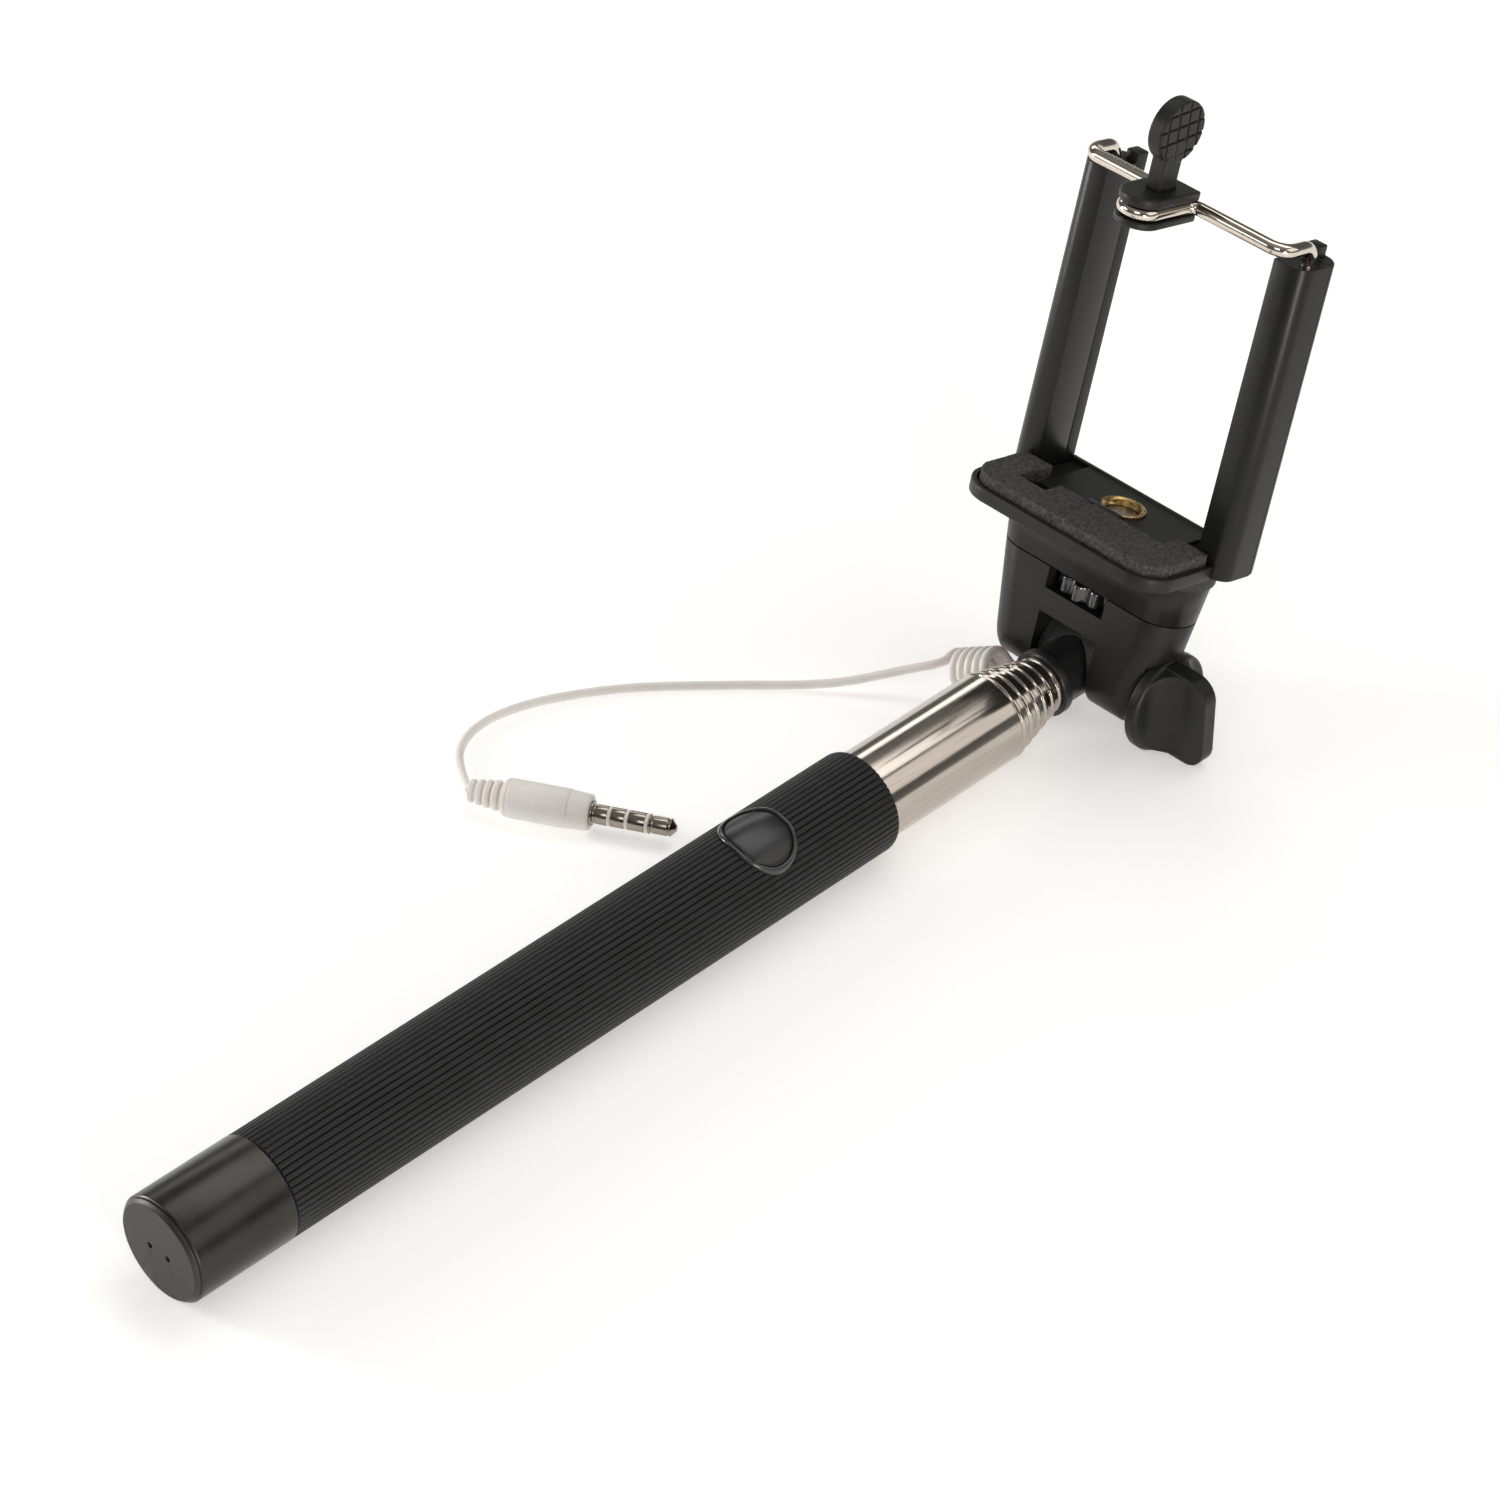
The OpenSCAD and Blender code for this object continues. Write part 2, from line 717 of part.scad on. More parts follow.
module foam_pad() {
    color("#262626") at_head() translate([0, 0, tray_floor]) linear_extrude(foam_top - tray_floor)
        difference() {
            front_rounded(-foam_front, -post_front - 0.3, foam_half, tray_round - 1.3);
            translate([-foam_inner, -foam_arm]) square([10, 2 * foam_arm]);
            translate([-11.8, 9]) square([5.2, 6]);
        }
}

// The outline of a post, which is mirrored for the other side
module post_plan() {
    depth = post_front + tray_back;
    width = post_out - post_in;
    translate([-post_front, post_in]) square([depth, width - post_round]);
    translate([post_round - post_front, post_in]) square([depth - 2 * post_round, width]);
    for (x = [post_round - post_front, tray_back - post_round])
        translate([x, post_out - post_round]) circle(post_round);
}

module post(side) {
    color("#4a4a4b") at_head() mirror([0, side < 0 ? 1 : 0, 0]) difference() {
        translate([0, 0, post_low]) linear_extrude(post_top - post_low) post_plan();
        translate([tray_back - cover_t, 0, 0]) cube([10, 40, 100]);
        translate([leg_back, leg_half, bore_low]) cylinder(r = bore_r, h = bore_top - bore_low);
        translate([leg_back, leg_half, 0]) translate([0, 0, bore_top - 1])
            cylinder(r = wire_r + fit, h = 10);
    }
}

module post_cover(side) {
    color("#3a3a3b") at_head() mirror([0, side < 0 ? 1 : 0, 0]) intersection() {
        union() {
            translate([0, 0, post_low]) linear_extrude(post_top - post_low) post_plan();
            translate([-post_front, post_in, post_top - 1])
                cube([post_front + tray_back, lug_width, cover_top - post_top + 1]);
        }
        translate([tray_back - cover_t + gap, 0, 0]) cube([10, 40, 100]);
    }
}

// --- Spring clamp ----------------------------------------------------------

// A round bend of the wire in the XY plane, about the origin
module wire_bend(r, from, sweep) {
    rotate([0, 0, from]) rotate_extrude(angle = sweep) translate([r, 0]) circle(wire_r);
}

// A straight piece of wire along X or Y
module wire_x(x0, x1) {
    translate([x0, 0, 0]) rotate([0, 90, 0]) cylinder(r = wire_r, h = x1 - x0);
}

module wire_y(y0, y1) {
    translate([0, y0, 0]) rotate([-90, 0, 0]) cylinder(r = wire_r, h = y1 - y0);
}

module wire_half(side) {
    loop_y = side * loop_r + jaw_shift;
    bend_y = loop_y + side * loop_bend;
    corner_y = leg_half - corner_r;
    translate([leg_back, side * leg_half, leg_low])
        cylinder(r = wire_r, h = wire_z - bend_r - leg_low);
    translate([leg_back - bend_r, side * leg_half, wire_z - bend_r]) rotate([90, 0, 0])
        wire_bend(bend_r, 0, 90);
    translate([0, side * leg_half, wire_z])
        wire_x(corner_r - run_front, leg_back - bend_r);
    translate([corner_r - run_front, side * corner_y, wire_z])
        wire_bend(corner_r, side > 0 ? 90 : 180, 90);
    translate([-run_front, 0, wire_z])
        wire_y(min(side * corner_y, bend_y), max(side * corner_y, bend_y));
    translate([-run_front - loop_bend, bend_y, wire_z])
        wire_bend(loop_bend, side > 0 ? 270 : 0, 90);
    translate([0, loop_y, wire_z]) wire_x(-loop_front, -run_front - loop_bend);
}

module clamp_wire() {
    color("#d5d2ca") at_head() {
        for (side = [-1, 1]) wire_half(side);
        translate([-loop_front, jaw_shift, wire_z]) wire_bend(loop_r, 90, 180);
    }
}

module around_legs(z, h, r_out, r_in) {
    at_head() for (side = [-1, 1]) translate([leg_back, side * leg_half, z]) difference() {
        cylinder(r = r_out, h = h);
        translate([0, 0, -1]) cylinder(r = r_in, h = h + 2);
    }
}

module wire_retainers() {
    color("silver") around_legs(leg_low, retainer_h, bore_r - 0.1, wire_r);
}

// The springs at their fully pressed length, standing on the retainers
module clamp_springs() {
    spring_z = leg_low + retainer_h;
    color("gray") around_legs(spring_z, bore_top - lift - spring_z - 0.1, bore_r - 0.2, wire_r + 0.15);
}

module jaw_plan() {
    translate([-loop_front, jaw_shift - jaw_half]) square([loop_front - run_front, 2 * jaw_half]);
    translate([-loop_front, jaw_shift]) circle(jaw_half);
}

module jaw_lower() {
    core = loop_r - wire_r - fit;
    color("#2c2c2e") at_head() {
        translate([0, 0, jaw_low]) linear_extrude(jaw_plate) jaw_plan();
        translate([0, 0, jaw_low]) linear_extrude(wire_z + wire_r + fit - jaw_low) {
            translate([-loop_front, jaw_shift - core])
                square([loop_front - run_front - 1.5, 2 * core]);
            translate([-loop_front, jaw_shift]) circle(core);
        }
    }
}

module jaw_upper() {
    low = wire_z + wire_r + fit;
    color("#2c2c2e") at_head() translate([0, 0, low]) linear_extrude(jaw_top - low) jaw_plan();
}

module finger_tab() {
    color("#353537") at_head() {
        translate([-tab_front, tab_t - 0.1, tab_height]) rotate([90, 0, 0])
            cylinder(r = tab_r, h = tab_t);
        translate([-stem_front - stem_half, 0, jaw_top])
            cube([2 * stem_half, tab_t - 0.4, tab_height - jaw_top - 2]);
    }
}

// --- Nodes -----------------------------------------------------------------

end_cap();
end_sleeve();
handle_core();
grip_sleeve();
outer_tube();
button_bezel();
switch_board();
dome_switch();
handle_lead();
shutter_button();
tube_section(1);  // tube_section_1
rear_bush(1);  // rear_bush_1
tube_section(2);  // tube_section_2
rear_bush(2);  // rear_bush_2
tube_section(3);  // tube_section_3
rear_bush(3);  // rear_bush_3
tube_section(4);  // tube_section_4
rear_bush(4);  // rear_bush_4
tube_section_last();  // tube_section_5
rear_bush(5);  // rear_bush_5
neck();
inner_coil();
cord_boot();
cord_coil();
cord_lead();
plug_boot();
plug_body();
plug_contacts();
plug_insulators();
housing_lower();
housing_cap();
top_pad();
clamp_nut();
clamp_knob();
clamp_bolt();
thumbwheel();
mount_screw();
tray();
brass_insert();
foam_pad();
post(1);  // post_left
post(-1);  // post_right
post_cover(1);  // post_cover_left
post_cover(-1);  // post_cover_right
clamp_wire();
wire_retainers();
clamp_springs();
jaw_lower();
jaw_upper();
finger_tab();
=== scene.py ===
# The looks of a wired telescopic selfie stick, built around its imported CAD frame.
# Lengths inside the makers are in millimetres; a piece is placed by one of the frames below.
import json
import math

import bmesh
import bpy
from mathutils import Matrix, Vector, noise

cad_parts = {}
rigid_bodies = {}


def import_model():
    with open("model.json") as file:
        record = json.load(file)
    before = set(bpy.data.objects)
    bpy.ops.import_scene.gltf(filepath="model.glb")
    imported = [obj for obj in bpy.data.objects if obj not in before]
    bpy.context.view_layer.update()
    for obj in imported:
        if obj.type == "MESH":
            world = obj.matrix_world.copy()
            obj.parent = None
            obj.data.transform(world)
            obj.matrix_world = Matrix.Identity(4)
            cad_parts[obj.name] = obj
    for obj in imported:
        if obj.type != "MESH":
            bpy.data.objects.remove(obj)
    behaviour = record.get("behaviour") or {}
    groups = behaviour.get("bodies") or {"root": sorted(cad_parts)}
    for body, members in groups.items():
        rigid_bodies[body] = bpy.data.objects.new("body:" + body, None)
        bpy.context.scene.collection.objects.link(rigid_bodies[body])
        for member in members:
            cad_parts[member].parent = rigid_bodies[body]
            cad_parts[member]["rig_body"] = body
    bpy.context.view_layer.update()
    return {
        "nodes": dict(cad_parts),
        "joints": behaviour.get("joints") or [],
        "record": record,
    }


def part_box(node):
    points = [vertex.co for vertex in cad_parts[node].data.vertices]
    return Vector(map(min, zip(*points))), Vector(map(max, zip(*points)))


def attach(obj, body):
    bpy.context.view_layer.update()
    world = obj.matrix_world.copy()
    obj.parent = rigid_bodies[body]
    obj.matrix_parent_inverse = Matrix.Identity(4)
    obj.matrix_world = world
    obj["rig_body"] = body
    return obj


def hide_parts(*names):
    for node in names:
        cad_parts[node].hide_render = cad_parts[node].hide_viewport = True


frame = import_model()

MM = 0.001
TO_MM = Matrix.Scale(MM, 4)
Z_TO_X = Matrix.Rotation(math.pi / 2, 4, "Y")

# --- Frames ------------------------------------------------------------------

joints = {joint["name"]: joint for joint in frame["joints"]}
cap_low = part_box("end_cap")[0]
sleeve_low, sleeve_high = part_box("end_sleeve")
axis_point = Vector((cap_low.x, (sleeve_low.y + sleeve_high.y) / 2, (sleeve_low.z + sleeve_high.z) / 2))
pivot = Vector(joints["head_tilt"]["pos_m"])
head_up = Vector(joints["clamp_lift"]["axis"])

# X runs along the stick from the middle of its end face
POLE = Matrix.Translation(axis_point) @ TO_MM
# X runs from the front to the back of the head, Z up through its screw
HEAD = Matrix.Translation(pivot) @ Matrix.Rotation(math.atan2(head_up.x, head_up.z), 4, "Y") @ TO_MM

# Sizes that part.scad gives, in millimetres, and the flare in radians
END_R = 9.55
GRIP_START, GRIP_END, GRIP_R = 20.2, 153.9, 9.5
CORE_R = 8.87
TUBE_R, TUBE_WALL, TUBE_STEP = 8.35, 0.4, 0.6
TUBE_FRONT, TUBE_SHOW = 186.3, 2.42
TUBE_REAR, SECTION_REAR = 22.02, 26
BUTTON_X, BUTTON_ANGLE = 127.5, 11.5
BEZEL_A, BEZEL_B, BEZEL_WALL, BEZEL_TOP = 6, 7, 0.8, 10.07
BUTTON_LOW, BUTTON_TOP = 9.3, 10.22
CORD_R, COIL_R = 0.82, 4.1
PLUG_AT, PLUG_TURN, PIN_R = (113, 54, 3.5 - END_R), -60.5, 1.75
LEG_BACK, LEG_HALF, LEG_LOW, WIRE_R, WIRE_Z = 2.8, 21.9, 30, 1.25, 88
JAW_SHIFT, LOOP_R, LOOP_TIP, RUN_FRONT = 1.15, 2.9, 17.95, 5
SCREW_X, INSERT_R, INSERT_LOW, INSERT_TOP = -0.4, 4.2, 26.6, 29.5
TAB_X, TAB_Z, TAB_FACE, TAB_R, TAB_T = -10.2, 101.2, -0.1, 5.6, 3
STEM_X, STEM_HALF, JAW_TOP = -10.9, 2.4, 91
KNUCKLE_R = 6
HOUSE_X, HOUSE_R, HOUSE_LOW, HOUSE_HALF = -1.7, 6.3, 0.6, 18
HOUSE_FLARE = math.radians(8.3)
BOOT_START, BOOT_END = (199.9, 4.6, -1.6), (200.1, 8.0, -2.0)

# Sizes of the looks alone
RING_GAP = 0.12
SEAM_TOP, SEAM_DEPTH = 16.4, 0.45
OVAL_POINTS = 96

BUTTON = (POLE @ Matrix.Translation((BUTTON_X, 0, 0))
          @ Matrix.Rotation(math.radians(BUTTON_ANGLE), 4, "X"))
PLUG = POLE @ Matrix.Translation(PLUG_AT) @ Matrix.Rotation(math.radians(PLUG_TURN), 4, "Z") @ Z_TO_X


def section_r(i):
    return TUBE_R - TUBE_STEP * i


def section_end(i):
    return TUBE_FRONT + TUBE_SHOW * i


# --- Materials ---------------------------------------------------------------

def material(name, colour, rough, metal=0.0, tone=0.12, tone_mm=3.0, bump=0.0, bump_mm=0.3,
             stretch=(1, 1, 1), rough_spread=0.06, fixed=(), cells=False):
    """A procedural finish: colour and roughness drift over tone_mm, and a bump as deep as bump mm
    repeats every bump_mm. stretch scales the pattern along each axis, fixed sets other sockets and
    cells makes the bump of round cells."""
    made = bpy.data.materials.new(name)
    made.use_nodes = True
    nodes, links = made.node_tree.nodes, made.node_tree.links
    shader = nodes["Principled BSDF"]
    shader.inputs["Metallic"].default_value = metal
    for socket, value in fixed:
        shader.inputs[socket].default_value = value
    place = nodes.new("ShaderNodeTexCoord")
    scale = nodes.new("ShaderNodeMapping")
    scale.inputs["Scale"].default_value = stretch
    links.new(place.outputs["Object"], scale.inputs["Vector"])
    drift = nodes.new("ShaderNodeTexNoise")
    drift.inputs["Scale"].default_value = 1 / (tone_mm * MM)
    drift.inputs["Detail"].default_value = 5
    links.new(scale.outputs["Vector"], drift.inputs["Vector"])
    ramp = nodes.new("ShaderNodeValToRGB")
    ramp.color_ramp.elements[0].position = 0.3
    ramp.color_ramp.elements[1].position = 0.7
    ramp.color_ramp.elements[0].color = (*[c * (1 - tone) for c in colour], 1)
    ramp.color_ramp.elements[1].color = (*[min(1, c * (1 + tone)) for c in colour], 1)
    links.new(drift.outputs["Fac"], ramp.inputs["Fac"])
    links.new(ramp.outputs["Color"], shader.inputs["Base Color"])
    gloss = nodes.new("ShaderNodeMapRange")
    gloss.inputs["To Min"].default_value = max(0.02, rough - rough_spread)
    gloss.inputs["To Max"].default_value = rough + rough_spread
    links.new(drift.outputs["Fac"], gloss.inputs["Value"])
    links.new(gloss.outputs["Result"], shader.inputs["Roughness"])
    if bump:
        if cells:
            grain = nodes.new("ShaderNodeTexVoronoi")
            height = grain.outputs["Distance"]
        else:
            grain = nodes.new("ShaderNodeTexNoise")
            grain.inputs["Detail"].default_value = 3
            height = grain.outputs["Fac"]
        grain.inputs["Scale"].default_value = 1 / (bump_mm * MM)
        links.new(scale.outputs["Vector"], grain.inputs["Vector"])
        lift = nodes.new("ShaderNodeBump")
        lift.inputs["Strength"].default_value = 1
        lift.inputs["Distance"].default_value = bump * MM
        links.new(height, lift.inputs["Height"])
        links.new(lift.outputs["Normal"], shader.inputs["Normal"])
    return made


ALONG_STICK = (0.04, 1, 1)
SATIN = [("Specular IOR Level", 0.26)]
FINISHES = {
    "end_sleeve": material("satin_gunmetal", (0.052, 0.049, 0.046), 0.3, metal=0.92, tone=0.08,
                           bump=0.004, bump_mm=0.15, stretch=(1, 0.15, 0.15)),
    "end_cap": material("satin_cap", (0.048, 0.047, 0.044), 0.42, metal=0.8, tone=0.1,
                        bump=0.006, bump_mm=0.12),
    "grip_rubber": material("ribbed_rubber", (0.0095, 0.0095, 0.01), 0.52, tone=0.3, tone_mm=4,
                            bump=0.02, bump_mm=0.12, fixed=[("Specular IOR Level", 0.35)]),
    "core_plastic": material("core_plastic", (0.02, 0.02, 0.02), 0.5, bump=0.01, bump_mm=0.2),
    "tube_steel": material("polished_steel", (0.485, 0.435, 0.385), 0.14, metal=1, tone=0.08,
                           tone_mm=0.5, bump=0.0016, bump_mm=0.18, stretch=ALONG_STICK,
                           rough_spread=0.04),
    "bezel": material("bezel_gloss", (0.022, 0.022, 0.023), 0.24, tone=0.15, bump=0.003, bump_mm=0.2,
                      fixed=[("Coat Weight", 0.4), ("Coat Roughness", 0.15)]),
    "button": material("button_gloss", (0.018, 0.018, 0.019), 0.3, tone=0.15, bump=0.004, bump_mm=0.15),
    "board": material("circuit_board", (0.02, 0.12, 0.05), 0.4, tone=0.2, bump=0.01, bump_mm=0.5),
    "switch_metal": material("switch_dome", (0.7, 0.7, 0.7), 0.25, metal=1, tone=0.06),
    "bush_plastic": material("bush_plastic", (0.62, 0.6, 0.52), 0.45, tone=0.05, bump=0.01),
    "neck_plastic": material("neck_plastic", (0.015, 0.015, 0.0152), 0.36, tone=0.2,
                             bump=0.01, bump_mm=0.25),
    "pad_rubber": material("textured_rubber", (0.02, 0.02, 0.02), 0.62, tone=0.35, tone_mm=0.6,
                           bump=0.12, bump_mm=0.45),
    "housing_plastic": material("satin_housing", (0.0115, 0.0113, 0.011), 0.37, tone=0.1, tone_mm=6,
                                bump=0.006, bump_mm=0.14, rough_spread=0.04, fixed=SATIN),
    "knob_plastic": material("satin_knob", (0.012, 0.0122, 0.0118), 0.4, tone=0.12, tone_mm=4,
                             bump=0.012, bump_mm=0.16, fixed=SATIN),
    "wheel_plastic": material("glossy_wheel", (0.02, 0.02, 0.02), 0.14, tone=0.2, bump=0.003,
                              bump_mm=0.4, fixed=[("Specular IOR Level", 0.9)]),
    "screw_steel": material("screw_steel", (0.62, 0.61, 0.58), 0.28, metal=1, tone=0.1,
                            bump=0.004, bump_mm=0.2),
    "tray_plastic": material("moulded_tray", (0.0135, 0.0135, 0.013), 0.4, tone=0.15, tone_mm=3,
                             bump=0.012, bump_mm=0.2, fixed=SATIN),
    "brass": material("turned_brass", (0.58, 0.39, 0.16), 0.28, metal=1, tone=0.18, tone_mm=0.8,
                      bump=0.01, bump_mm=0.2),
    "foam": material("open_cell_foam", (0.055, 0.054, 0.051), 0.88, tone=0.6, tone_mm=0.7,
                     bump=0.4, bump_mm=0.62, cells=True, rough_spread=0.08),
    "post_metal": material("satin_post", (0.0072, 0.0074, 0.007), 0.33, tone=0.12, tone_mm=5,
                           bump=0.008, bump_mm=0.16, fixed=SATIN),
    "cover_plastic": material("post_cover", (0.0095, 0.0096, 0.0093), 0.42, tone=0.15, bump=0.008,
                              bump_mm=0.2, fixed=SATIN),
    "wire_chrome": material("warm_chrome", (0.66, 0.60, 0.52), 0.1, metal=1, tone=0.05, tone_mm=0.8,
                            bump=0.003, bump_mm=0.5, rough_spread=0.04),
    "spring_steel": material("spring_steel", (0.5, 0.5, 0.5), 0.3, metal=1),
    "jaw_plastic": material("matte_jaw", (0.0125, 0.0125, 0.0122), 0.42, tone=0.18, tone_mm=1.5,
                            bump=0.012, bump_mm=0.2, fixed=SATIN),
    "cord_white": material("soft_white", (0.86, 0.825, 0.785), 0.42, tone=0.03, tone_mm=4,
                           bump=0.006, bump_mm=0.3, fixed=[("Subsurface Weight", 0.12),
                                                           ("Subsurface Scale", 0.0008)]),
    # The gland's cream tone, darker than the cord's white, is painted shade copying the shaded inside of
    # the coil's near turn.
    "boot_cream": material("gland_painted_shade", (0.78, 0.69, 0.61), 0.45, tone=0.05, bump=0.008),
    "contact_metal": material("plated_contact", (0.33, 0.295, 0.245), 0.14, metal=1, tone=0.05,
                              bump=0.002, bump_mm=0.4),
}
# The knuckle's grain bump is real. Its base colour, lighter than the neck's plastic, is a painted
# highlight standing for the light on the knuckle's top.
GRAINED_KNUCKLE_PAINTED_LIGHT = material("grained_knuckle_painted_light", (0.04, 0.04, 0.04), 0.5, tone=0.45, tone_mm=0.5,
                           bump=0.12, bump_mm=0.4)

# --- Mesh helpers ------------------------------------------------------------


def add_object(name, data, body, slot, replaced):
    """Links a piece that rides on a body, takes a material slot's finish and stands for CAD nodes."""
    made = bpy.data.objects.new(name, data)
    bpy.context.scene.collection.objects.link(made)
    if not data.materials:
        data.materials.append(FINISHES[slot])
    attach(made, body)
    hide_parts(*replaced)
    return made


def shade(mesh, angle):
    mesh.shade_smooth()
    mesh.set_sharp_from_angle(angle=math.radians(angle))


def tidy(mesh, distance):
    """Merges the points that lie together and turns every face outwards."""
    bm = bmesh.new()
    bm.from_mesh(mesh)
    bmesh.ops.remove_doubles(bm, verts=bm.verts, dist=distance)
    bmesh.ops.dissolve_degenerate(bm, edges=bm.edges, dist=distance / 4)
    bmesh.ops.recalc_face_normals(bm, faces=bm.faces)
    if bm.calc_volume(signed=True) < 0:
        bmesh.ops.reverse_faces(bm, faces=bm.faces)
    bm.to_mesh(mesh)
    bm.free()


def solid(name, verts, faces, where, angle=35):
    """A mesh in metres from points in millimetres in one of the frames."""
    mesh = bpy.data.meshes.new(name)
    mesh.from_pydata([tuple(v) for v in verts], [], faces)
    mesh.transform(where)
    tidy(mesh, 0.001 * MM)
    shade(mesh, angle)
    return mesh


def rounded(points, closed=True, steps=6):
    """The line through (x, y[, z], radius) points, with each corner turned on an arc of its radius."""
    out = []
    count = len(points)
    for i, point in enumerate(points):
        here, radius = Vector(point[:-1]), point[-1]
        if radius <= 0 or (not closed and i in (0, count - 1)):
            out.append(here)
            continue
        back = Vector(points[i - 1][:-1]) - here
        ahead = Vector(points[(i + 1) % count][:-1]) - here
        half = back.angle(ahead) / 2
        if half > math.radians(89.5):
            out.append(here)
            continue
        reach = min(radius / math.tan(half), back.length / 2, ahead.length / 2)
        middle = here + (back.normalized() + ahead.normalized()).normalized() * reach / math.cos(half)
        first = here + back.normalized() * reach - middle
        last = here + ahead.normalized() * reach - middle
        sweep = first.angle(last)
        for k in range(steps + 1):
            t = k / steps
            out.append(middle + (first * math.sin((1 - t) * sweep) + last * math.sin(t * sweep))
                       / math.sin(sweep))
    return out


def grid_faces(rows, columns, wrap_rows=False):
    """The faces between rows of points, each row a closed ring."""
    faces = []
    for i in range(rows if wrap_rows else rows - 1):
        for j in range(columns):
            a, b = i * columns, (i + 1) % rows * columns
            k = (j + 1) % columns
            faces.append((a + j, a + k, b + k, b + j))
    return faces


def end_faces(rows, columns):
    """The faces that close the first and the last row of points."""
    count = rows * columns
    return [tuple(reversed(range(columns))), tuple(range(count - columns, count))]


def lathe(name, profile, where, segments, angle=35, wobble=None):
    """A solid turned about the frame's Z axis from a closed outline of (radius, height) points.
    wobble(radius, height, turn) may change the radius, for flutes and knurls."""
    verts = []
    for radius, height in profile:
        for k in range(segments):
            turn = 2 * math.pi * k / segments
            r = wobble(radius, height, turn) if wobble else radius
            verts.append((r * math.cos(turn), r * math.sin(turn), height))
    return solid(name, verts, grid_faces(len(profile), segments, wrap_rows=True), where, angle)


def sweep(name, path, radius, where, sides):
    """A round bar of one radius along a line of points, with closed ends."""
    verts = []
    side = (path[1] - path[0]).orthogonal().normalized()
    for i, point in enumerate(path):
        ahead = (path[min(i + 1, len(path) - 1)] - path[max(i - 1, 0)]).normalized()
        side = (side - ahead * side.dot(ahead)).normalized()
        up = ahead.cross(side)
        for k in range(sides):
            turn = 2 * math.pi * k / sides
            verts.append(point + radius * (math.cos(turn) * side + math.sin(turn) * up))
    return solid(name, verts, grid_faces(len(path), sides) + end_faces(len(path), sides), where, 50)


def baked(piece):
    """Applies the piece's modifiers to its mesh."""
    shape = piece.evaluated_get(bpy.context.evaluated_depsgraph_get())
    mesh = bpy.data.meshes.new_from_object(shape)
    piece.modifiers.clear()
    old, piece.data = piece.data, mesh
    bpy.data.meshes.remove(old)
    return piece


def cut(piece, tools, operation="DIFFERENCE"):
    """Takes closed meshes out of a piece, or keeps what lies inside them."""
    for mesh in tools:
        tool = bpy.data.objects.new("tool", mesh)
        bpy.context.scene.collection.objects.link(tool)
        modifier = piece.modifiers.new("Cut", "BOOLEAN")
        modifier.operation = operation
        modifier.solver = "EXACT"
        modifier.object = tool
        baked(piece)
        bpy.data.objects.remove(tool)
        bpy.data.meshes.remove(mesh)
    return piece


def joined(name, meshes):
    """One mesh of several."""
    bm = bmesh.new()
    for mesh in meshes:
        bm.from_mesh(mesh)
    whole = bpy.data.meshes.new(name)
    bm.to_mesh(whole)
    bm.free()
    return whole


def body_of(node):
    return frame["nodes"][node]["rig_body"]


SLOT_OF = {part["node"]: part["material_slot"] for part in frame["record"]["subparts"]}


def raw_copy(node, name):
    """A copy of a CAD node's mesh as an object of its own, with its points merged."""
    mesh = frame["nodes"][node].data.copy()
    mesh.materials.clear()
    tidy(mesh, 0.002 * MM)
    return add_object(name, mesh, body_of(node), SLOT_OF[node], [node])


def refined(node, width, extra=None, inside=None):
    """A copy of a CAD node with clean faces and rounded edges, kept inside a mesh if one is given.
    extra is a test on a face's centre in metres and the second material of the faces that pass it."""
    angle = 30
    # a face with fewer corners than this belongs to a curved side or a rounded edge
    flat_corners = 9
    mesh = frame["nodes"][node].data.copy()
    mesh.materials.clear()
    bm = bmesh.new()
    bm.from_mesh(mesh)
    bmesh.ops.remove_doubles(bm, verts=bm.verts, dist=0.002 * MM)
    bmesh.ops.dissolve_limit(bm, angle_limit=math.radians(0.6), verts=bm.verts, edges=bm.edges)
    bm.to_mesh(mesh)
    bm.free()
    piece = add_object("shaped_" + node, mesh, body_of(node), SLOT_OF[node], [node])
    if inside:
        cut(piece, [inside], "INTERSECT")
    edges = piece.modifiers.new("Edges", "BEVEL")
    edges.width = width * MM
    edges.segments = 3
    edges.limit_method = "ANGLE"
    edges.angle_limit = math.radians(angle)
    baked(piece)
    shade(piece.data, angle)
    for face in piece.data.polygons:
        face.use_smooth = len(face.vertices) < flat_corners
    if extra:
        piece.data.materials.append(extra[1])
        for face in piece.data.polygons:
            face.material_index = 1 if extra[0](face.center) else 0
    return piece


# --- Camera, lights and floor ------------------------------------------------

def camera():
    """The photograph's viewing angle, in perspective."""
    data = bpy.data.cameras.new("Camera")
    data.lens = 124.35
    data.sensor_width = 36
    made = bpy.data.objects.new("Camera", data)
    made.location = (-0.45216, -0.46425, 0.57453)
    look = Vector((0.5417, 0.5499, -0.6357))
    made.rotation_euler = look.to_track_quat("-Z", "Y").to_euler()
    bpy.context.scene.collection.objects.link(made)
    bpy.context.scene.camera = made


def soft_box(name, at, target, size, power, colour=(1, 1, 1)):
    """A rectangular area light that faces a target."""
    data = bpy.data.lights.new(name, "AREA")
    data.shape = "RECTANGLE"
    data.size, data.size_y = size
    data.energy = power
    data.color = colour
    made = bpy.data.objects.new(name, data)
    made.location = at
    made.rotation_euler = (Vector(target) - Vector(at)).to_track_quat("-Z", "Y").to_euler()
    bpy.context.scene.collection.objects.link(made)


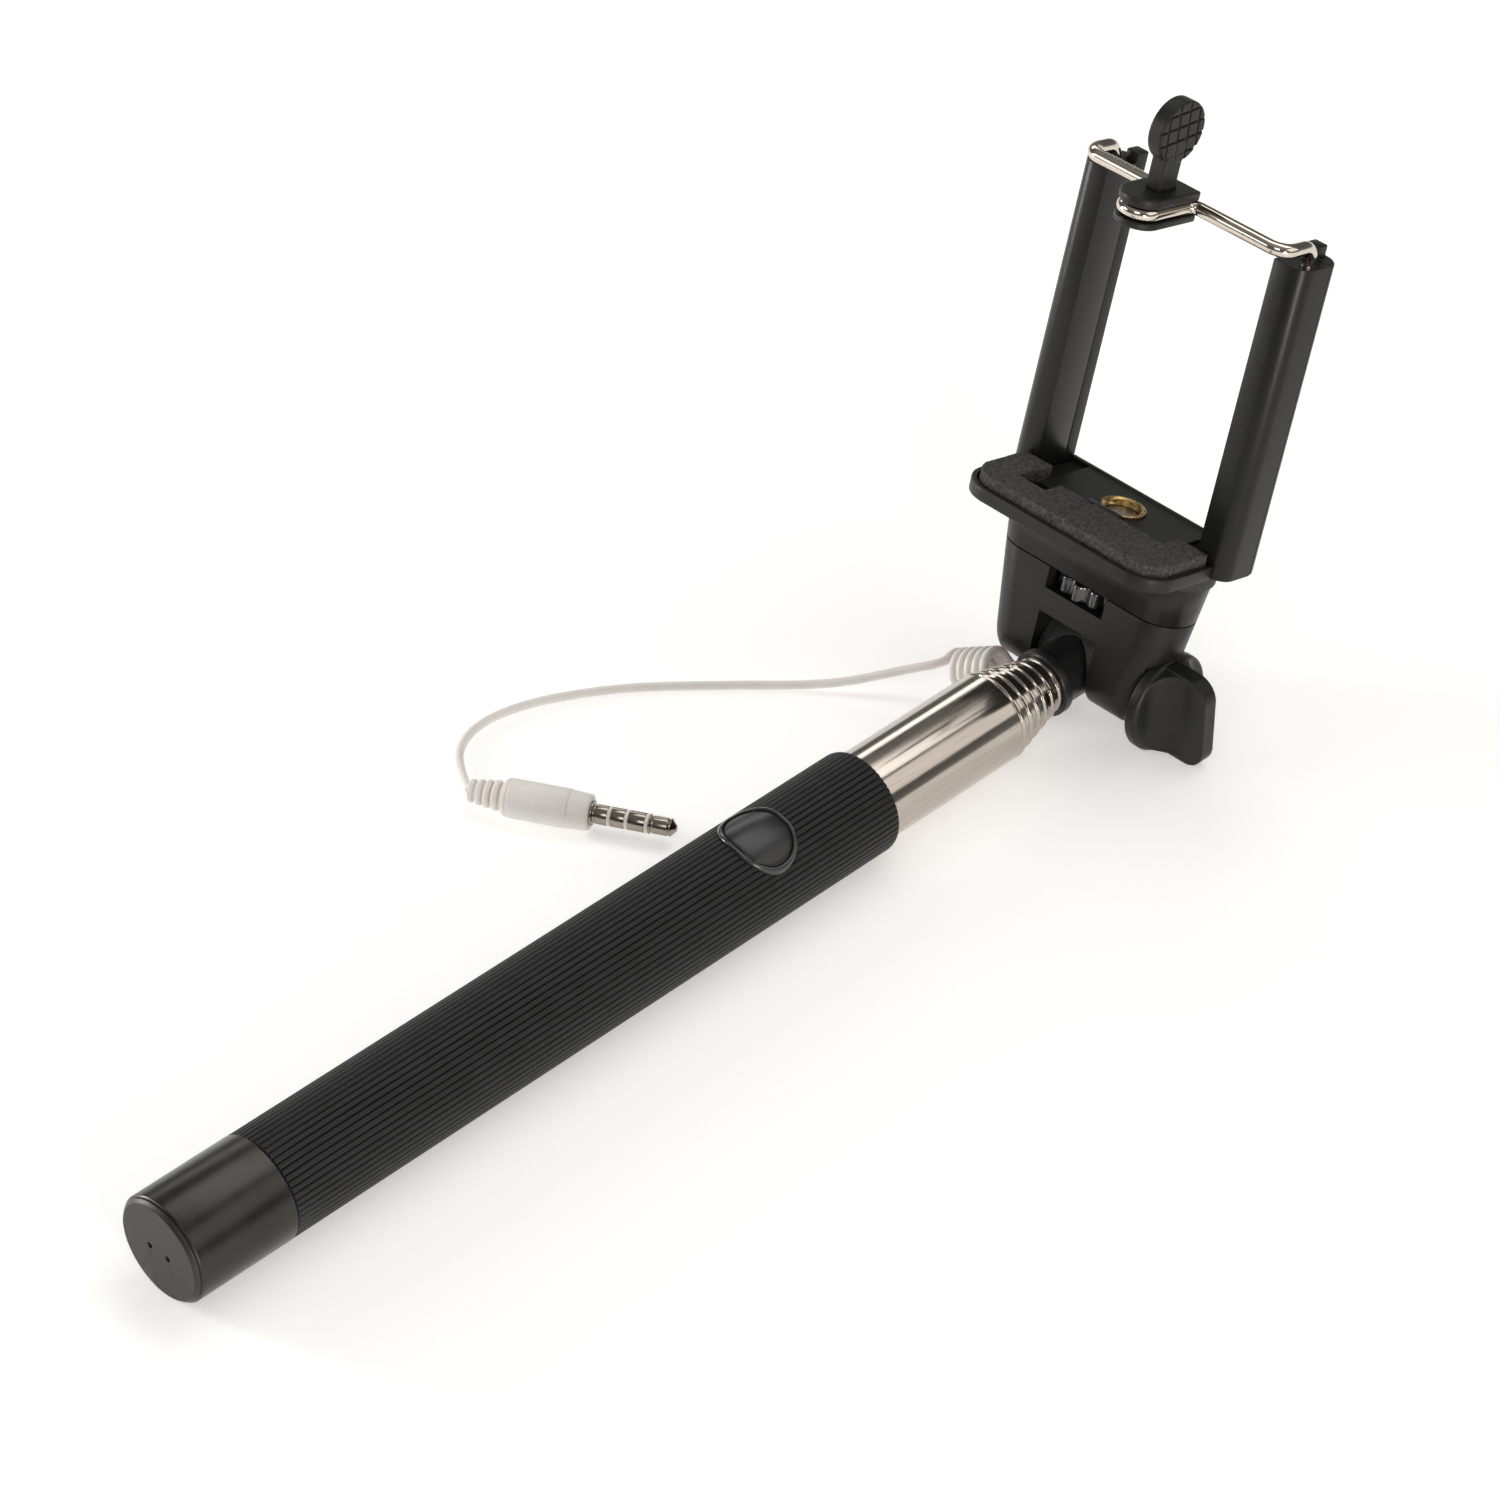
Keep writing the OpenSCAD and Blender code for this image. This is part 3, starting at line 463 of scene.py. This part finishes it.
def studio():
    """A pale floor, a soft grey surround and soft boxes that draw long highlights on the steel."""
    mesh = bpy.data.meshes.new("floor")
    half = 4
    mesh.from_pydata([(-half, -half, 0), (half, -half, 0), (half, half, 0), (-half, half, 0)], [],
                     [(0, 1, 2, 3)])
    floor = bpy.data.objects.new("floor", mesh)
    mesh.materials.append(material("pale_floor", (0.86, 0.855, 0.845), 0.7, tone=0.01, tone_mm=200,
                                   fixed=[("Emission Color", (1, 0.99, 0.975, 1)),
                                          ("Emission Strength", 0.4)]))
    bpy.context.scene.collection.objects.link(floor)

    world = bpy.data.worlds.new("Studio")
    bpy.context.scene.world = world
    world.use_nodes = True
    nodes, links = world.node_tree.nodes, world.node_tree.links
    place = nodes.new("ShaderNodeTexCoord")
    split = nodes.new("ShaderNodeSeparateXYZ")
    ramp = nodes.new("ShaderNodeValToRGB")
    links.new(place.outputs["Generated"], split.inputs["Vector"])
    links.new(split.outputs["Z"], ramp.inputs["Fac"])
    links.new(ramp.outputs["Color"], nodes["Background"].inputs["Color"])
    stops = [(0.0, 0.30), (0.1, 0.16), (0.45, 0.10), (0.8, 0.22), (1.0, 0.3)]
    for i, (height, grey) in enumerate(stops):
        stop = ramp.color_ramp.elements[i] if i < 2 else ramp.color_ramp.elements.new(height)
        stop.position = height
        stop.color = (grey, grey * 0.985, grey * 0.965, 1)

    aim = (0.03, 0, 0.03)
    soft_box("right_panel", (0.5, -0.95, 0.75), aim, (1.1, 0.7), 2.7, (1, 0.965, 0.925))
    soft_box("right_low", (-0.36, -0.86, 0.12), aim, (0.14, 0.4), 5, (1, 0.96, 0.93))
    soft_box("left_low", (-0.44, 0.78, 0.13), aim, (0.14, 0.4), 5, (1, 0.96, 0.93))
    soft_box("overhead_panel", (0.55, 0.1, 1.2), aim, (1.2, 0.6), 4.6, (1, 0.99, 0.975))
    soft_box("back_panel", (0.75, 1.15, 0.66), aim, (1.0, 0.3), 2.2)
    soft_box("left_panel", (-0.9, 0.9, 0.65), aim, (0.7, 0.6), 2.6)
    soft_box("front_panel", (-0.95, -0.55, 1.0), aim, (0.6, 0.6), 2.8, (1, 0.985, 0.96))
    bpy.context.scene.view_settings.view_transform = "Standard"


# --- Cord --------------------------------------------------------------------

COIL_NEAR, COIL_FAR = Vector((197.9, 8.75, -1.1)), Vector((195.6, 17.9, -5.55))
COIL_TURNS = 5.25
TURN_POINTS = 16
CORD_Z = CORD_R - END_R
ENTRY = [(199.95, 6.0, -1.75), BOOT_END, (200.9, 9.6, -1.9)]
ROUTE = [
    (193.7, 18.3, -2.3), (191.9, 19.2, -2.7), (190.1, 21.2, -3.5),
    (187.9, 23.8, -4.6), (185.0, 26.8, -5.8), (181.5, 30.3, -7.0), (178.0, 34.3, -8.0),
    (174.2, 38.9, CORD_Z), (168.8, 44.2, CORD_Z), (163.0, 49.7, CORD_Z),
    (157.4, 54.8, CORD_Z), (151.8, 59.2, CORD_Z), (146.0, 62.9, CORD_Z),
    (140.2, 65.9, CORD_Z), (134.5, 67.8, CORD_Z), (129.0, 68.4, CORD_Z),
    (124.4, 67.5, CORD_Z), (121.0, 65.5, CORD_Z), (118.6, 62.9, -8.6),
    (116.9, 60.4, -8.2), (115.4, 58.1, -7.5), (114.0, 55.9, -6.8), (113.0, 54.0, -6.05),
]


def coil_line():
    """The turns' centre line, from the near end's right side to the top of the far end."""
    axis = (COIL_FAR - COIL_NEAR).normalized()
    top = (Vector((0, 0, 1)) - axis * axis.z).normalized()
    side = top.cross(axis)
    first, last = COIL_NEAR + axis * CORD_R, COIL_FAR - axis * CORD_R
    count = int(COIL_TURNS * TURN_POINTS)
    line = []
    for k in range(count + 1):
        turn = 2 * math.pi * (k / TURN_POINTS - 0.25)
        reach = COIL_R - CORD_R
        line.append(first.lerp(last, k / count) + reach * (math.cos(turn) * top + math.sin(turn) * side))
    return line


def audio_cord(plug_pieces):
    """The cord: out of its gland, round the coil's turns and along the floor to the plug."""
    line = [Vector(p) for p in ENTRY] + coil_line() + [Vector(p) for p in ROUTE]
    data = bpy.data.curves.new("audio_cord", "CURVE")
    data.dimensions = "3D"
    data.bevel_depth = CORD_R * MM
    data.bevel_resolution = 5
    data.resolution_u = 6
    data.use_fill_caps = True
    spline = data.splines.new("BEZIER")
    spline.bezier_points.add(len(line) - 1)
    for point, knot in zip(line, spline.bezier_points):
        knot.co = POLE @ point
        knot.handle_left_type = knot.handle_right_type = "AUTO"
    cord = add_object("audio_cord", data, "section_5", "cord_white", ["cord_coil", "cord_lead"])


def cord_gland():
    """The short tapered gland where the cord leaves the neck."""
    start, end = Vector(BOOT_START), Vector(BOOT_END)
    along = end - start
    where = POLE @ Matrix.Translation(start) @ along.to_track_quat("Z", "Y").to_matrix().to_4x4()
    length = along.length
    profile = rounded([(0.2, 0.3, 0), (1.6, 0.3, 0), (1.6, length * 0.55, 0.6), (1.15, length, 0.25),
                       (0.2, length, 0)])
    mesh = lathe("cord_gland", profile, where, 40)
    # the gland's cream finish is painted shade, darker than the cord's white
    return add_object("cord_gland", mesh, "section_5", "boot_cream", ["cord_boot"])


# --- Plug --------------------------------------------------------------------

def plug():
    """The ribbed strain relief, the moulded body with its collar, the contacts and their rings."""
    ribs = [(0.7, 0, 0)]
    for i in range(4):
        low, radius = 1.5 * i, 2.05 + 0.2 * i
        ribs += [(1.5, low, 0.1), (radius, low, 0.25), (radius + 0.08, low + 0.95, 0.25),
                 (1.5, low + 0.95, 0.1)]
    ribs += [(1.5, 6.2, 0), (0.7, 6.2, 0)]
    boot_mesh = lathe("plug_strain_relief", rounded(ribs, steps=3), PLUG, 64)
    boot = add_object("plug_strain_relief", boot_mesh, "section_5", "cord_white", ["plug_boot"])
    body = rounded([(0.5, 6.2, 0), (3.05, 6.2, 0.15), (3.05, 6.7, 0.1), (3.42, 6.75, 0.15),
                    (3.42, 7.15, 0.1), (3.25, 7.3, 0.08), (3.5, 7.5, 0.15), (3.48, 18.0, 0.12),
                    (3.3, 18.12, 0.05), (3.3, 18.22, 0.05), (3.4, 18.3, 0.1), (3.15, 21.85, 0.35),
                    (0.5, 22, 0)], steps=4)
    shell = add_object("plug_shell", lathe("plug_shell", body, PLUG, 96), "section_5", "cord_white",
                       ["plug_body"])
    pin = [(0.9, 22, 0), (2.25, 22, 0.05), (2.25, 22.35, 0.1), (1.62, 22.5, 0.05), (1.62, 22.8, 0.05)]
    for low, high in [(22.9, 25), (25.6, 28.1), (28.7, 31.7)]:
        pin += [(PIN_R, low, 0.08), (PIN_R, high, 0.08), (0.9, high, 0), (0.9, high + 0.6, 0)]
    pin += [(PIN_R, 32.3, 0.05), (PIN_R, 32.55, 0.08), (1.42, 32.75, 0.1), (1.6, 33.1, 0.15),
            (1.6, 35.6, 0.1), (1.35, 35.85, 0.1), (1.7, 36.15, 0.12), (0.5, 37.15, 0.2),
            (0.02, 37.2, 0), (0.02, 22, 0)]
    contacts = add_object("plug_pin", lathe("plug_pin", rounded(pin, steps=4), PLUG, 64), "section_5",
                          "contact_metal", ["plug_contacts"])
    rings = [lathe("ring", rounded([(0.88, z, 0), (1.72, z, 0.05), (1.72, z + 0.6, 0.05),
                                    (0.88, z + 0.6, 0)], steps=2), PLUG, 64)
             for z in (25, 28.1, 31.7)]
    whole = joined("plug_rings", rings)
    shade(whole, 35)
    insulators = add_object("plug_rings", whole, "section_5", "cord_white", ["plug_insulators"])
    return [boot, shell, contacts, insulators]


# --- Handle ------------------------------------------------------------------

def oval_line(a, b):
    """Points and outward directions round an outline with two round ends, a across and b along."""
    out = []
    for k in range(OVAL_POINTS):
        turn = 2 * math.pi * k / OVAL_POINTS
        x, y = math.cos(turn), math.sin(turn)
        out.append((Vector((a * x, a * y + math.copysign(b - a, y))), Vector((x, y))))
    return out


def on_shell(flat, radius):
    """The point at that radius from the stick's axis, above a flat point in the button's frame."""
    return (flat.x, flat.y, math.sqrt(max(0, radius * radius - flat.y * flat.y)))


def oval_prism(a, b, low, high):
    """An upright block with that outline, in the button's frame."""
    line = oval_line(a, b)
    verts = [(p.x, p.y, low) for p, _ in line] + [(p.x, p.y, high) for p, _ in line]
    return solid("prism", verts, grid_faces(2, OVAL_POINTS) + end_faces(2, OVAL_POINTS), BUTTON)


def grip():
    """The ribbed rubber sleeve: fine ribs run its whole length and fade over the front rim."""
    ribs, samples = 54, 10
    depth = 0.34
    count = ribs * samples
    rim = 1.3
    outer = [(GRIP_START + 0.04, -0.2), (GRIP_START + 0.16, 0)]
    outer += [(GRIP_START + 6 + 14 * k, 0) for k in range(9)]
    outer += [(GRIP_END - rim + rim * math.sin(t), -rim * (1 - math.cos(t)) * 0.6)
              for t in [math.pi / 2 * k / 7 for k in range(8)]]
    verts = []
    for x, drop in outer:
        fade = max(0.25, 1 + drop / rim)
        for k in range(count):
            phase = k % samples / samples
            groove = min(1, abs(2 * phase - 1) * 2.4)
            r = GRIP_R + drop - depth * fade * (1 - groove ** 0.7)
            turn = 2 * math.pi * k / count
            verts.append((x, r * math.sin(turn), r * math.cos(turn)))
    for x, r in [(GRIP_END, TUBE_R + 0.05), (GRIP_END - 1.78, TUBE_R + 0.05),
                 (GRIP_END - 1.78, CORE_R + 0.02), (GRIP_START + 0.04, CORE_R + 0.02)]:
        verts += [(x, r * math.sin(2 * math.pi * k / count), r * math.cos(2 * math.pi * k / count))
                  for k in range(count)]
    rows = len(outer) + 4
    mesh = solid("ribbed_grip", verts, grid_faces(rows, count, wrap_rows=True), POLE, 50)
    piece = add_object("ribbed_grip", mesh, "handle", "grip_rubber", ["grip_sleeve"])
    cut(piece, [oval_prism(BEZEL_A + 0.02, BEZEL_B + 0.02, 5, 12)])
    shade(piece.data, 50)


def bezel():
    """The raised ring round the button, with a rounded crown."""
    crown = rounded([(0, 8.9, 0), (0, BEZEL_TOP, 0.34), (-BEZEL_WALL, BEZEL_TOP, 0.34),
                     (-BEZEL_WALL, 8.9, 0)], steps=7)
    line = oval_line(BEZEL_A, BEZEL_B)
    verts = [on_shell(flat + out * shift, r) for shift, r in crown for flat, out in line]
    mesh = solid("button_ring", verts, grid_faces(len(crown), len(line), wrap_rows=True), BUTTON, 45)
    add_object("button_ring", mesh, "handle", "bezel", ["button_bezel"])


def button():
    """The domed oval button."""
    a, b = BEZEL_A - BEZEL_WALL - 0.1, BEZEL_B - BEZEL_WALL - 0.1
    dome = [(1.0, BUTTON_LOW), (1.0, 9.62), (0.985, 9.74), (0.955, 9.82), (0.9, 9.89), (0.8, 9.97),
            (0.65, 10.06), (0.5, 10.13), (0.35, 10.18), (0.2, 10.21), (0.05, BUTTON_TOP)]
    line = oval_line(a, b)
    verts = [on_shell(flat * share, r) for share, r in dome for flat, _ in line]
    faces = grid_faces(len(dome), OVAL_POINTS) + end_faces(len(dome), OVAL_POINTS)
    mesh = solid("domed_button", verts, faces, BUTTON, 40)
    add_object("domed_button", mesh, "button", "button", ["shutter_button"])


def tube(i):
    """One polished tube with a softly rolled front lip."""
    r, end = section_r(i), section_end(i)
    start = TUBE_REAR if i == 0 else SECTION_REAR + TUBE_SHOW * (i - 1)
    inner = r - TUBE_WALL
    node = f"tube_section_{i}" if i else "outer_tube"
    bead = [(r, end - 1.3, 0.1), (r - 0.26, end - 1.02, 0.1), (r - 0.26, end - 0.86, 0.1),
            (r, end - 0.62, 0.12)]
    profile = [(inner, start, 0), (r, start, 0.1), *bead]
    if i < 5:
        lip_r = section_r(i + 1) + RING_GAP
        profile += [(r, end, 0.24), (lip_r, end, 0.05), (lip_r, end - 0.4, 0.05), (inner, end - 1.4, 0)]
    else:
        profile += [(r, end, 0.2), (inner, end, 0)]
    mesh = lathe(f"steel_tube_{i}", rounded(profile, steps=7), POLE @ Z_TO_X, 144)
    add_object(f"steel_tube_{i}", mesh, body_of(node), "tube_steel", [node])


# --- Head and cradle ---------------------------------------------------------

def knurled_insert():
    """The brass insert, knurled outside and threaded inside."""
    teeth = 40
    pitch = 0.9
    profile = [(INSERT_R - 0.12, INSERT_LOW, 0.1), (INSERT_R, INSERT_LOW + 0.3, 0.05),
               (INSERT_R, INSERT_TOP - 0.12, 0.1), (INSERT_R - 0.3, INSERT_TOP, 0.1),
               (3.62, INSERT_TOP, 0.12)]
    low = INSERT_TOP - 0.35
    while low - pitch > INSERT_LOW:
        profile += [(3.18, low, 0.06), (3.18, low - 0.14, 0.06), (3.6, low - pitch / 2, 0.05)]
        low -= pitch
    profile += [(3.2, INSERT_LOW, 0)]

    def knurl(radius, height, turn):
        outside = radius > INSERT_R - 0.35 and height < INSERT_TOP - 0.02
        return radius - (0.16 * abs(math.sin(turn * teeth / 2)) if outside else 0)

    where = HEAD @ Matrix.Translation((SCREW_X, 0, 0))
    mesh = lathe("knurled_insert", rounded(profile, steps=3), where, teeth * 8, 40, knurl)
    add_object("knurled_insert", mesh, "cradle", "brass", ["brass_insert"])


def bent_wire():
    """The chrome wire: one leg, the run along the posts' tops, the jaw's loop and the other half."""
    half = [(LEG_BACK, LEG_HALF, LEG_LOW, 0), (LEG_BACK, LEG_HALF, WIRE_Z, 2.5),
            (-RUN_FRONT, LEG_HALF, WIRE_Z, 3), (-RUN_FRONT, JAW_SHIFT + LOOP_R, WIRE_Z, 2),
            (-LOOP_TIP, JAW_SHIFT + LOOP_R, WIRE_Z, LOOP_R)]
    other = [(x, 2 * JAW_SHIFT - y if abs(y) < LEG_HALF else -y, z, r) for x, y, z, r in half]
    path = rounded(half + other[::-1], closed=False, steps=10)
    mesh = sweep("bent_wire", path, WIRE_R, HEAD, 28)
    add_object("bent_wire", mesh, "clamp", "wire_chrome", ["clamp_wire"])


def box_mesh(low, high, where):
    """A block between two corners, for cutting and for building up a piece."""
    x0, y0, z0 = low
    x1, y1, z1 = high
    verts = [(x, y, z) for x in (x0, x1) for y in (y0, y1) for z in (z0, z1)]
    faces = [(0, 1, 3, 2), (4, 6, 7, 5), (0, 4, 5, 1), (2, 3, 7, 6), (0, 2, 6, 4), (1, 5, 7, 3)]
    return solid("box", verts, faces, where)


def moulded(piece, voxel, rounds):
    """Remeshes a closed piece and smooths it, so that its edges run round like a moulding's."""
    remesh = piece.modifiers.new("Remesh", "REMESH")
    remesh.mode = "VOXEL"
    remesh.voxel_size = voxel * MM
    soften = piece.modifiers.new("Soften", "SMOOTH")
    soften.factor = 0.5
    soften.iterations = rounds
    baked(piece)
    shade(piece.data, 180)
    return piece


def finger_tab():
    """The round tab on its stem, with the grid engraved on its knob side."""
    face = HEAD @ Matrix.Translation((TAB_X, TAB_FACE, TAB_Z))
    outline = rounded([(0.02, 0, 0), (TAB_R, 0, 0.35), (TAB_R, TAB_T, 0.35), (0.02, TAB_T, 0)])
    disc_mesh = lathe("disc", outline, face @ Matrix.Rotation(-math.pi / 2, 4, "X"), 96)
    disc = bpy.data.objects.new("disc", disc_mesh)
    bpy.context.scene.collection.objects.link(disc)
    spacing, half_groove, depth = 2.5, 0.2, 0.35
    grid = face @ Matrix.Rotation(math.radians(-8), 4, "Y")
    tools = []
    for k in (-1.5, -0.5, 0.5, 1.5):
        at = k * spacing
        tools.append(box_mesh((at - half_groove, -1, -9), (at + half_groove, depth, 9), grid))
        tools.append(box_mesh((-9, -1, at - half_groove), (9, depth, at + half_groove), grid))
    cut(disc, tools)
    left, right, top = STEM_X - STEM_HALF, STEM_X + STEM_HALF, TAB_Z - 2
    stem = box_mesh((left, 0, JAW_TOP), (right, TAB_T - 0.4, top), HEAD)
    rib = box_mesh((left, -0.3, JAW_TOP), (left + 0.9, 1, top - 2.5), HEAD)
    ledge = box_mesh((left, -0.3, JAW_TOP), (right, 1, JAW_TOP + 0.6), HEAD)
    mesh = joined("grid_tab", [disc.data, stem, rib, ledge])
    bpy.data.objects.remove(disc)
    moulded(add_object("grid_tab", mesh, "clamp", "jaw_plastic", ["finger_tab"]), 0.1, 3)


def seam_ring():
    """The shallow groove that runs round the housing where its two halves meet."""
    low, reach = 15.9, 3
    line = oval_line(HOUSE_R, HOUSE_HALF + SEAM_TOP * math.tan(HOUSE_FLARE))
    verts = []
    for out, z in [(-SEAM_DEPTH, low), (reach, low), (reach, SEAM_TOP), (-SEAM_DEPTH, SEAM_TOP)]:
        for at, away in line:
            verts.append((HOUSE_X + at.x + away.x * out, at.y + away.y * out, z))
    return solid("seam_ring", verts, grid_faces(4, len(line), wrap_rows=True), HEAD)


def rounded_foot():
    """A shape that holds the lower housing and rounds the two lower corners of its ends."""
    slope = math.tan(HOUSE_FLARE)
    end_r = HOUSE_R / math.cos(HOUSE_FLARE)
    above_seam, steps, squareness = 30, 12, 0.7
    levels = [(above_seam, 1)]
    for k in range(steps + 1):
        turn = math.pi / 2 * k / steps
        drop = HOUSE_R * math.sin(turn) ** squareness
        levels.append((HOUSE_LOW - drop, max(0.02, math.cos(turn)) ** squareness))
    verts = []
    for z, share in levels:
        middle = HOUSE_HALF + z * slope - end_r
        for k in range(OVAL_POINTS):
            turn = 2 * math.pi * (k + 0.5) / OVAL_POINTS
            x = HOUSE_X + (HOUSE_R + 0.01) * share * math.cos(turn)
            y = end_r * share * math.sin(turn)
            verts.append((x, y + math.copysign(middle, y), z))
    faces = grid_faces(len(levels), OVAL_POINTS) + end_faces(len(levels), OVAL_POINTS)
    return solid("rounded_foot", verts, faces, HEAD)


def foam():
    """The foam pad: soft rounded edges, an open-cell surface and a cut seam in its front strip."""
    slit_y, slit_half, slit_depth, strip_back = 1.6, 0.45, 0.3, -7.2
    piece = moulded(raw_copy("foam_pad", "foam_strip"), 0.3, 3)
    to_head = HEAD.inverted()
    vertices = piece.data.vertices
    normals = [vertex.normal.copy() for vertex in vertices]
    for vertex, normal in zip(vertices, normals):
        at = vertex.co / MM
        cell = noise.noise(at * 1.7) * 0.06 + noise.noise(at * 0.5) * 0.05
        place = to_head @ vertex.co
        slit = max(0, 1 - abs(place.y - slit_y) / slit_half) if place.x < strip_back else 0
        vertex.co += normal * (cell - 0.06 - slit_depth * slit) * MM


def thumbwheel():
    """The lobed wheel in the housing's window."""
    lobes, depth, sharpness = 13, 1.15, 2.2
    low, high, bore_r, wheel_r = 12.5, 15.7, 3.1, 7.9
    profile = rounded([(bore_r, low, 0.1), (wheel_r, low, 0.45), (wheel_r, high, 0.45),
                       (bore_r, high, 0.1)], steps=4)

    def lobed(radius, height, turn):
        # the hollows fade out between 7 and 5 mm from the middle
        share = min(1, max(0, (radius - 5) / 2))
        return radius - share * depth * abs(math.cos(turn * lobes / 2)) ** sharpness

    where = HEAD @ Matrix.Translation((SCREW_X, 0, 0))
    mesh = lathe("lobed_wheel", profile, where, lobes * 14, 35, lobed)
    add_object("lobed_wheel", mesh, "wheel", "wheel_plastic", ["thumbwheel"])


def near_knuckle(point):
    """Whether a point in metres lies on the knuckle."""
    return math.hypot(point.x - pivot.x, point.z - pivot.z) < (KNUCKLE_R + 0.02) * MM


# --- Assembly ----------------------------------------------------------------

camera()
audio_cord([cord_gland(), *plug()])
studio()

grip()
bezel()
button()
for number in range(6):
    tube(number)
refined("end_cap", 0.12)
refined("end_sleeve", 0.1)
# the knuckle's faces take the lighter copy of the neck plastic, a painted highlight over its real grain
refined("neck", 0.25, extra=(near_knuckle, GRAINED_KNUCKLE_PAINTED_LIGHT))
refined("housing_lower", 0.3, inside=rounded_foot())
cap = refined("housing_cap", 0.2)
cut(cap, [seam_ring()])
shade(cap.data, 30)
refined("top_pad", 0.3)
moulded(raw_copy("clamp_knob", "wing_knob"), 0.15, 4)
thumbwheel()
refined("mount_screw", 0.2)
refined("tray", 0.25)
knurled_insert()
foam()
for side in ("left", "right"):
    refined("post_" + side, 0.3)
    refined("post_cover_" + side, 0.4)
bent_wire()
refined("jaw_lower", 0.25)
refined("jaw_upper", 0.35)
finger_tab()

for name, node in frame["nodes"].items():
    node.data.materials.clear()
    node.data.materials.append(FINISHES[SLOT_OF[name]])
